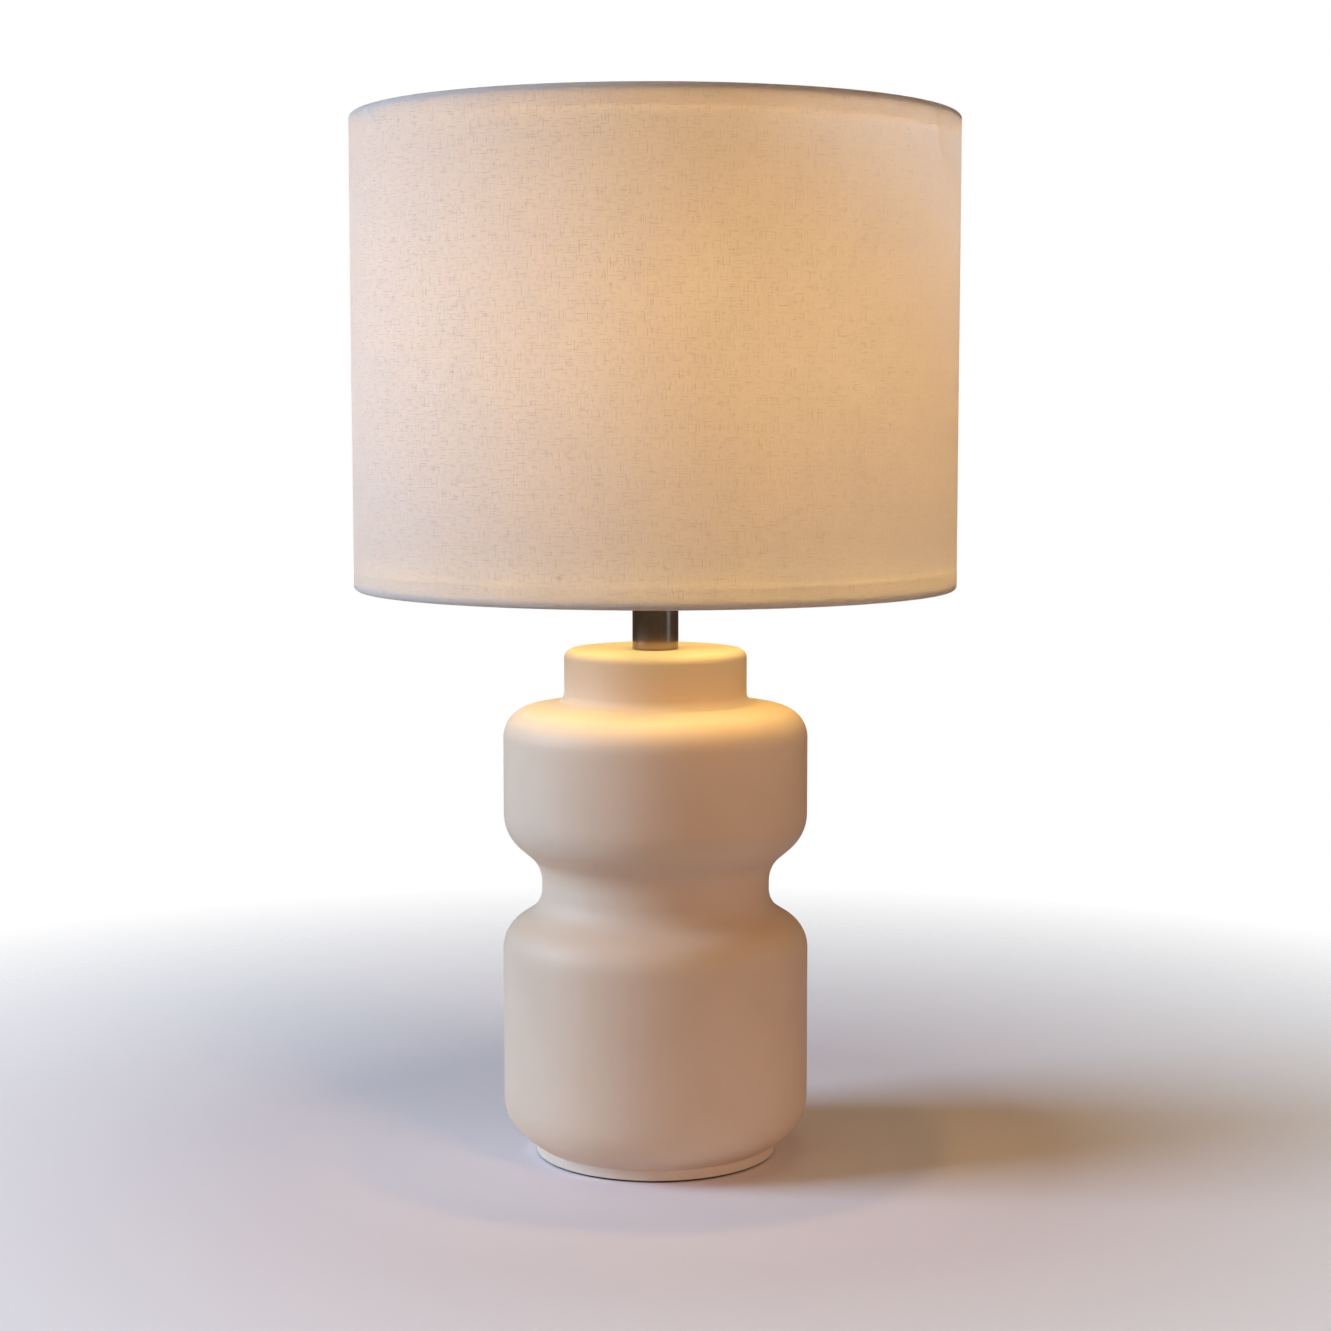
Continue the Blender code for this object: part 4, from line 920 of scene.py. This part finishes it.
# Bulb.
bulb = {
    "centre": 458.3, "radius": 30.0, "wall": 1.2, "seam": 440.6,
    "tip": [(0, 380.3, 0), (3.4, 380.3, 1.2), (4.6, 381.5, 0.2), (0, 381.5)],
    "insulator": [(0, 381.8), (4.9, 381.8, 0.3), (9.0, 384.8, 0.3), (0, 384.8)],
    "cap": [(12.7, 408.1), (12.7, 389.4, 3.0), (9.1, 385.4, 0.5), (4.6, 385.4)],
    "capWall": 0.6, "threadDepth": 0.9, "thread": (389.5, 404.5),
    "housing": [
        (11.4, 400.4), (11.4, 407.6, 0.5), (13.6, 409.6, 2.0), (14.6, 417.1, 30.0), (23.6, 438.6, 1.5),
        (23.6, 440.3),
    ],
}

tipLine = roundedLine(bulb["tip"], 5)
build("bulb_contact", finishes["zinc"], "bulb", ["bulb_tip"], [turnedSurface(tipLine, 48, closed=False)])
insulatorLine = roundedLine(bulb["insulator"], 5)
build("bulb_glass_insulator", finishes["blackPlastic"], "bulb", ["bulb_insulator"], [
    turnedSurface(insulatorLine, 64, closed=False)
])
capPath = refined(roundedLine(bulb["cap"], 8), 0.45)
capThread = rolledThread(bulb["threadDepth"], socket["threadPitch"], *bulb["thread"])
build("bulb_cap_threaded", finishes["nickel"], "bulb", ["bulb_screw_cap"], [
    turnedSurface(thickened(capPath, bulb["capWall"]), 96, swell=capThread)
])
housingPath = refined(roundedLine(bulb["housing"], 10), 1.5)
housing = build("bulb_housing_moulded", finishes["whitePlastic"], "bulb", ["bulb_housing"], [
    turnedSurface(thickened(housingPath, bulb["wall"]), 96)
])
housing.visible_shadow = False
low = math.asin((bulb["seam"] - bulb["centre"]) / bulb["radius"])
within = bulb["radius"] - bulb["wall"]
lowWithin = math.asin((bulb["seam"] - bulb["centre"]) / within)
climb = np.linspace(low, math.pi / 2, 40)
fall = np.linspace(math.pi / 2, lowWithin, 34)
globeLine = np.concatenate([
    np.stack([np.cos(climb), np.sin(climb)], -1) * bulb["radius"],
    np.stack([np.cos(fall), np.sin(fall)], -1) * within,
    [(bulb["radius"] * math.cos(low), bulb["seam"] - bulb["centre"])],
]) + (0, bulb["centre"])
globe = build("bulb_globe_frosted", finishes["globe"], "bulb", ["bulb_globe"], [
    turnedSurface(globeLine, 96, closed=False)
])
globe.visible_shadow = False
bulbLight.parent = globe
print("bulb made")


# Harp.
harp = {
    "legX": 31.6, "foot": 359.8, "straight": 386.1, "halfWide": 54.0, "belly": 448.1, "top": 546.2,
    "eye": 7.0, "wire": 1.5, "arch": 53.96,
    "eyeRing": [
        (2.8, 544.4, 0.3), (6.4, 544.4, 0.5), (7.0, 545.0, 0.4), (7.0, 547.4, 0.4), (6.4, 548.0, 0.5),
        (2.8, 548.0, 0.3),
    ],
    "sleeve": [
        (3.46, 359.1, 0.2), (4.16, 359.1, 0.3), (4.16, 361.0, 0.3), (3.92, 361.6, 0.4),
        (3.92, 371.6, 0.4), (4.16, 372.2, 0.3), (4.16, 374.1, 0.3), (3.46, 374.1, 0.2),
    ],
    "sleeveX": 30.65,
}


def bezierLine(a, b, c, d, count):
    # A cubic curve between a and d that leaves towards b and arrives from c.
    t = np.linspace(0, 1, count)[:, None]
    a, b, c, d = (np.asarray(p, float) for p in (a, b, c, d))
    return a * (1 - t) ** 3 + 3 * b * t * (1 - t) ** 2 + 3 * c * t * t * (1 - t) + d * t ** 3


rise = (harp["belly"] - harp["straight"]) / 2
lowerHalf = bezierLine(
    (harp["legX"], harp["straight"]), (harp["legX"], harp["straight"] + rise),
    (harp["halfWide"], harp["belly"] - rise), (harp["halfWide"], harp["belly"]), 32)
upperHalf = bezierLine(
    (harp["halfWide"], harp["belly"]), (harp["halfWide"], harp["belly"] + harp["arch"]),
    (0.65 * harp["halfWide"], harp["top"]), (harp["eye"] - 1.0, harp["top"]), 48)
rightWire = np.concatenate([
    [(harp["legX"], harp["foot"] + 1.2), (harp["legX"], harp["straight"] - 6)], lowerHalf, upperHalf[1:]
])
rightWire = np.stack([rightWire[:, 0], np.zeros(len(rightWire)), rightWire[:, 1]], axis=-1)
leftWire = rightWire * (-1, 1, 1)
eyeLine = roundedLine(harp["eyeRing"], 6)
build("harp_bow", finishes["brass"], "harp", ["harp"], [
    carriedSurface(rightWire, circle(harp["wire"], 20), (0, 1, 0), ends=roundEnds(1.2)),
    carriedSurface(leftWire, circle(harp["wire"], 20), (0, 1, 0), ends=roundEnds(1.2)),
    turnedSurface(refined(eyeLine, 0.8), 72),
], sharp=45)

sleeveLine = roundedLine(harp["sleeve"], 5)
for hand, way in (("left", -1), ("right", 1)):
    build(f"sleeve_{hand}_rolled", finishes["brass"], f"sleeve_{hand}", [f"harp_sleeve_{hand}"], [
        moved(turnedSurface(refined(sleeveLine, 1.0), 64), (way * harp["sleeveX"], 0, 0))
    ])

stud = {
    "line": [
        (0, 542.1), (4.6, 542.1, 1.4), (4.6, 544.1, 0.3), (2.4, 544.1, 0), (2.4, 548.3, 0),
        (6.5, 548.3, 0.4), (6.5, 549.7, 0.4), (2.75, 549.7, 0.1), (2.75, 550.2, 0), (2.75, 560.9, 0),
        (2.05, 561.7, 0.2), (0, 561.7),
    ],
    "threadLow": 550.1, "threadHigh": 560.9, "depth": 0.3, "pitch": 0.94,
}


def studThread(angle, height):
    # The screw's ridges, depth * (1 + cos(2 pi z / pitch - a)) / 2 out from the root.
    ridge = stud["depth"] * 0.5 * (1 + np.cos(math.tau * height / stud["pitch"] - angle))
    return np.where((height > stud["threadLow"]) & (height < stud["threadHigh"]), ridge, 0.0)


build("harp_stud_threaded", finishes["brass"], "swivel", ["harp_stud"], [
    turnedSurface(refined(roundedLine(stud["line"], 5), 0.16), 48, closed=False, swell=studThread)
])
print("harp made")


# Shade.
shade = {
    "low": 316.0, "high": 570.0, "cloth": 0.6, "clothRadius": 164.7, "hemRadius": 160.5, "tuckRadius": 162.9,
    "hemDeep": 12.0, "hemBend": 8.3, "hemLow": 5.0, "wrap": 2.08,  # up from the edge, and its rounding
    "ringRadius": 162.6, "ringInset": 2.4, "wire": 1.5,
    "seamWide": 9.0, "seamStep": 0.55, "seamEdge": 0.25, "inset": 0.16,
    "liner": (163.5, 164.1, 320.2, 565.8, 0.1),  # inner, outer, low, high, rounding
}


def hemCorners(edge, way):
    # From the cloth's tucked end, down the hem, and round the ring's wire to the outside.
    half = shade["cloth"] / 2
    return [
        (shade["tuckRadius"], edge + way * shade["hemDeep"], 0),
        (shade["tuckRadius"], edge + way * shade["hemBend"], 2.5),
        (shade["hemRadius"], edge + way * shade["hemLow"], 2.0),
        (shade["hemRadius"], edge + way * half, shade["wrap"]),
        (shade["clothRadius"], edge + way * half, shade["wrap"]),
    ]


clothPath = roundedLine(hemCorners(shade["low"], 1) + hemCorners(shade["high"], -1)[::-1], 10)
clothPath = refined(clothPath, 3.0)
clothLine = thickened(clothPath, shade["cloth"])
clothRun = lengthAlong(clothPath)
clothAlong = np.concatenate([clothRun, clothRun[::-1], clothRun[:1]])
seamHalf = shade["seamWide"] / 2 / shade["clothRadius"]
edgeHalf = shade["seamEdge"] / shade["clothRadius"]
seamAt = math.pi / 2
evenAngles = math.tau * np.arange(288) / 288
seamAngles = seamAt + np.array([
    -seamHalf - edgeHalf, -seamHalf, -seamHalf / 2, 0, seamHalf / 2, seamHalf, seamHalf + edgeHalf
])
clear = np.abs(evenAngles - seamAt) > seamHalf + 3 * edgeHalf
clothAngles = np.sort(np.concatenate([evenAngles[clear], seamAngles]))


def clothSwell(angle, height):
    # The lap at the back stands a cloth's thickness proud, and the whole drum wavers very slightly, by
    # 0.10 sin(3 a + 0.6) sin(h / 41) + 0.05 sin(11 a + h / 60).
    lap = np.interp(angle, seamAngles[[0, 1, 5, 6]], [0, 1, 1, 0]) * shade["seamStep"]
    lap = lap * (height > shade["low"] + 0.5) * (height < shade["high"] - 0.5)
    waver = 0.10 * np.sin(3 * angle + 0.6) * np.sin(height / 41) + 0.05 * np.sin(11 * angle + height / 60)
    outside = clothLine[None, :, 0] > shade["clothRadius"] - 0.7
    return waver - shade["inset"] + lap * outside


cloth = build(
    "shade_cloth", finishes["linen"], "shade", ["shade_fabric", "shade_hem_top", "shade_hem_bottom"],
    [turnedSurface(clothLine, angles=clothAngles, swell=clothSwell, along=clothAlong)], sharp=60,
)
liner = build("shade_liner_sheet", finishes["liner"], "shade", ["shade_liner"], [
    turnedSurface(refined(ringOutline(*shade["liner"]), 12), 288)
])
# The cloth alone carries the light: the liner is seen, and light goes through it unweakened.
liner.visible_diffuse = liner.visible_transmission = liner.visible_glossy = liner.visible_shadow = False
ringHeights = {"bottom": shade["low"] + shade["ringInset"], "top": shade["high"] - shade["ringInset"]}
for hand, height in ringHeights.items():
    ring = build(f"shade_ring_{hand}_wire", finishes["whiteMetal"], "shade", [f"shade_ring_{hand}"], [
        turnedSurface(circle(shade["wire"], 14) + (shade["ringRadius"], height), 288)
    ])
    ring.visible_shadow = ring.visible_diffuse = False

spider = {
    "hub": (3.45, 11.0, 550.0, 551.5, 0.45), "level": 550.75, "rim": 567.6, "wire": 1.5,
    "start": 11.7, "bendFrom": 138.6, "bendTo": 159.5,
}

build("spider_hub", finishes["whiteMetal"], "shade", ["spider_washer"], [
    turnedSurface(refined(ringOutline(*spider["hub"]), 1.5), 96)
])
armPath = np.concatenate([
    [(spider["start"], spider["level"]), (60, spider["level"]), (120, spider["level"])],
    bezierLine(
        (spider["bendFrom"], spider["level"]), (spider["bendFrom"] + 12, spider["level"]),
        (spider["bendTo"] - 11.6, spider["rim"]), (spider["bendTo"], spider["rim"]), 28),
])
armPath = refined(armPath, 8)
armLine = np.stack([armPath[:, 0], np.zeros(len(armPath)), armPath[:, 1]], axis=-1)
for k, hand in enumerate(("back", "left", "right")):
    arm = carriedSurface(armLine, circle(spider["wire"], 16), (0, 1, 0), ends=roundEnds(0.4, 4))
    build(f"spider_arm_{hand}_wire", finishes["whiteMetal"], "shade", [f"spider_arm_{hand}"], [
        moved(arm, turn=aboutUp(math.pi / 2 + math.tau * k / 3))
    ])


# Finial.
finial = {
    "collar": [(3.45, 551.8), (6.2, 551.8, 0.4), (6.2, 553.3, 0.5), (5.2, 554.3, 0.5), (5.0, 555.2, 0.2)],
    "ball": 7.5, "centre": 561.3, "ballFrom": -42,  # degrees
    "bore": 3.45, "boreTop": 562.1,
}

ballAngles = np.radians(np.linspace(finial["ballFrom"], 90, 30))
finialLine = np.concatenate([
    roundedLine(finial["collar"], 5)[:-1],
    np.stack([np.cos(ballAngles), np.sin(ballAngles)], -1) * finial["ball"] + (0, finial["centre"]),
    [(0, finial["boreTop"]), (finial["bore"], finial["boreTop"]), finial["collar"][0]],
])
build("finial_ball", finishes["darkNickel"], "finial", ["finial"], [
    turnedSurface(finialLine, 96, closed=False)
])

# Pieces carried over from the frame.
carried = {
    "neck_bush": "brass", "socket_interior": "phenolic", "terminal_screw_live": "brass",
    "terminal_screw_neutral": "zinc", "centre_contact": "brass", "led_board": "whitePlastic",
}
for node, finish in carried.items():
    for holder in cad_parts[node].material_slots:
        holder.material = finishes[finish]
print("finial made, carried-over pieces finished")
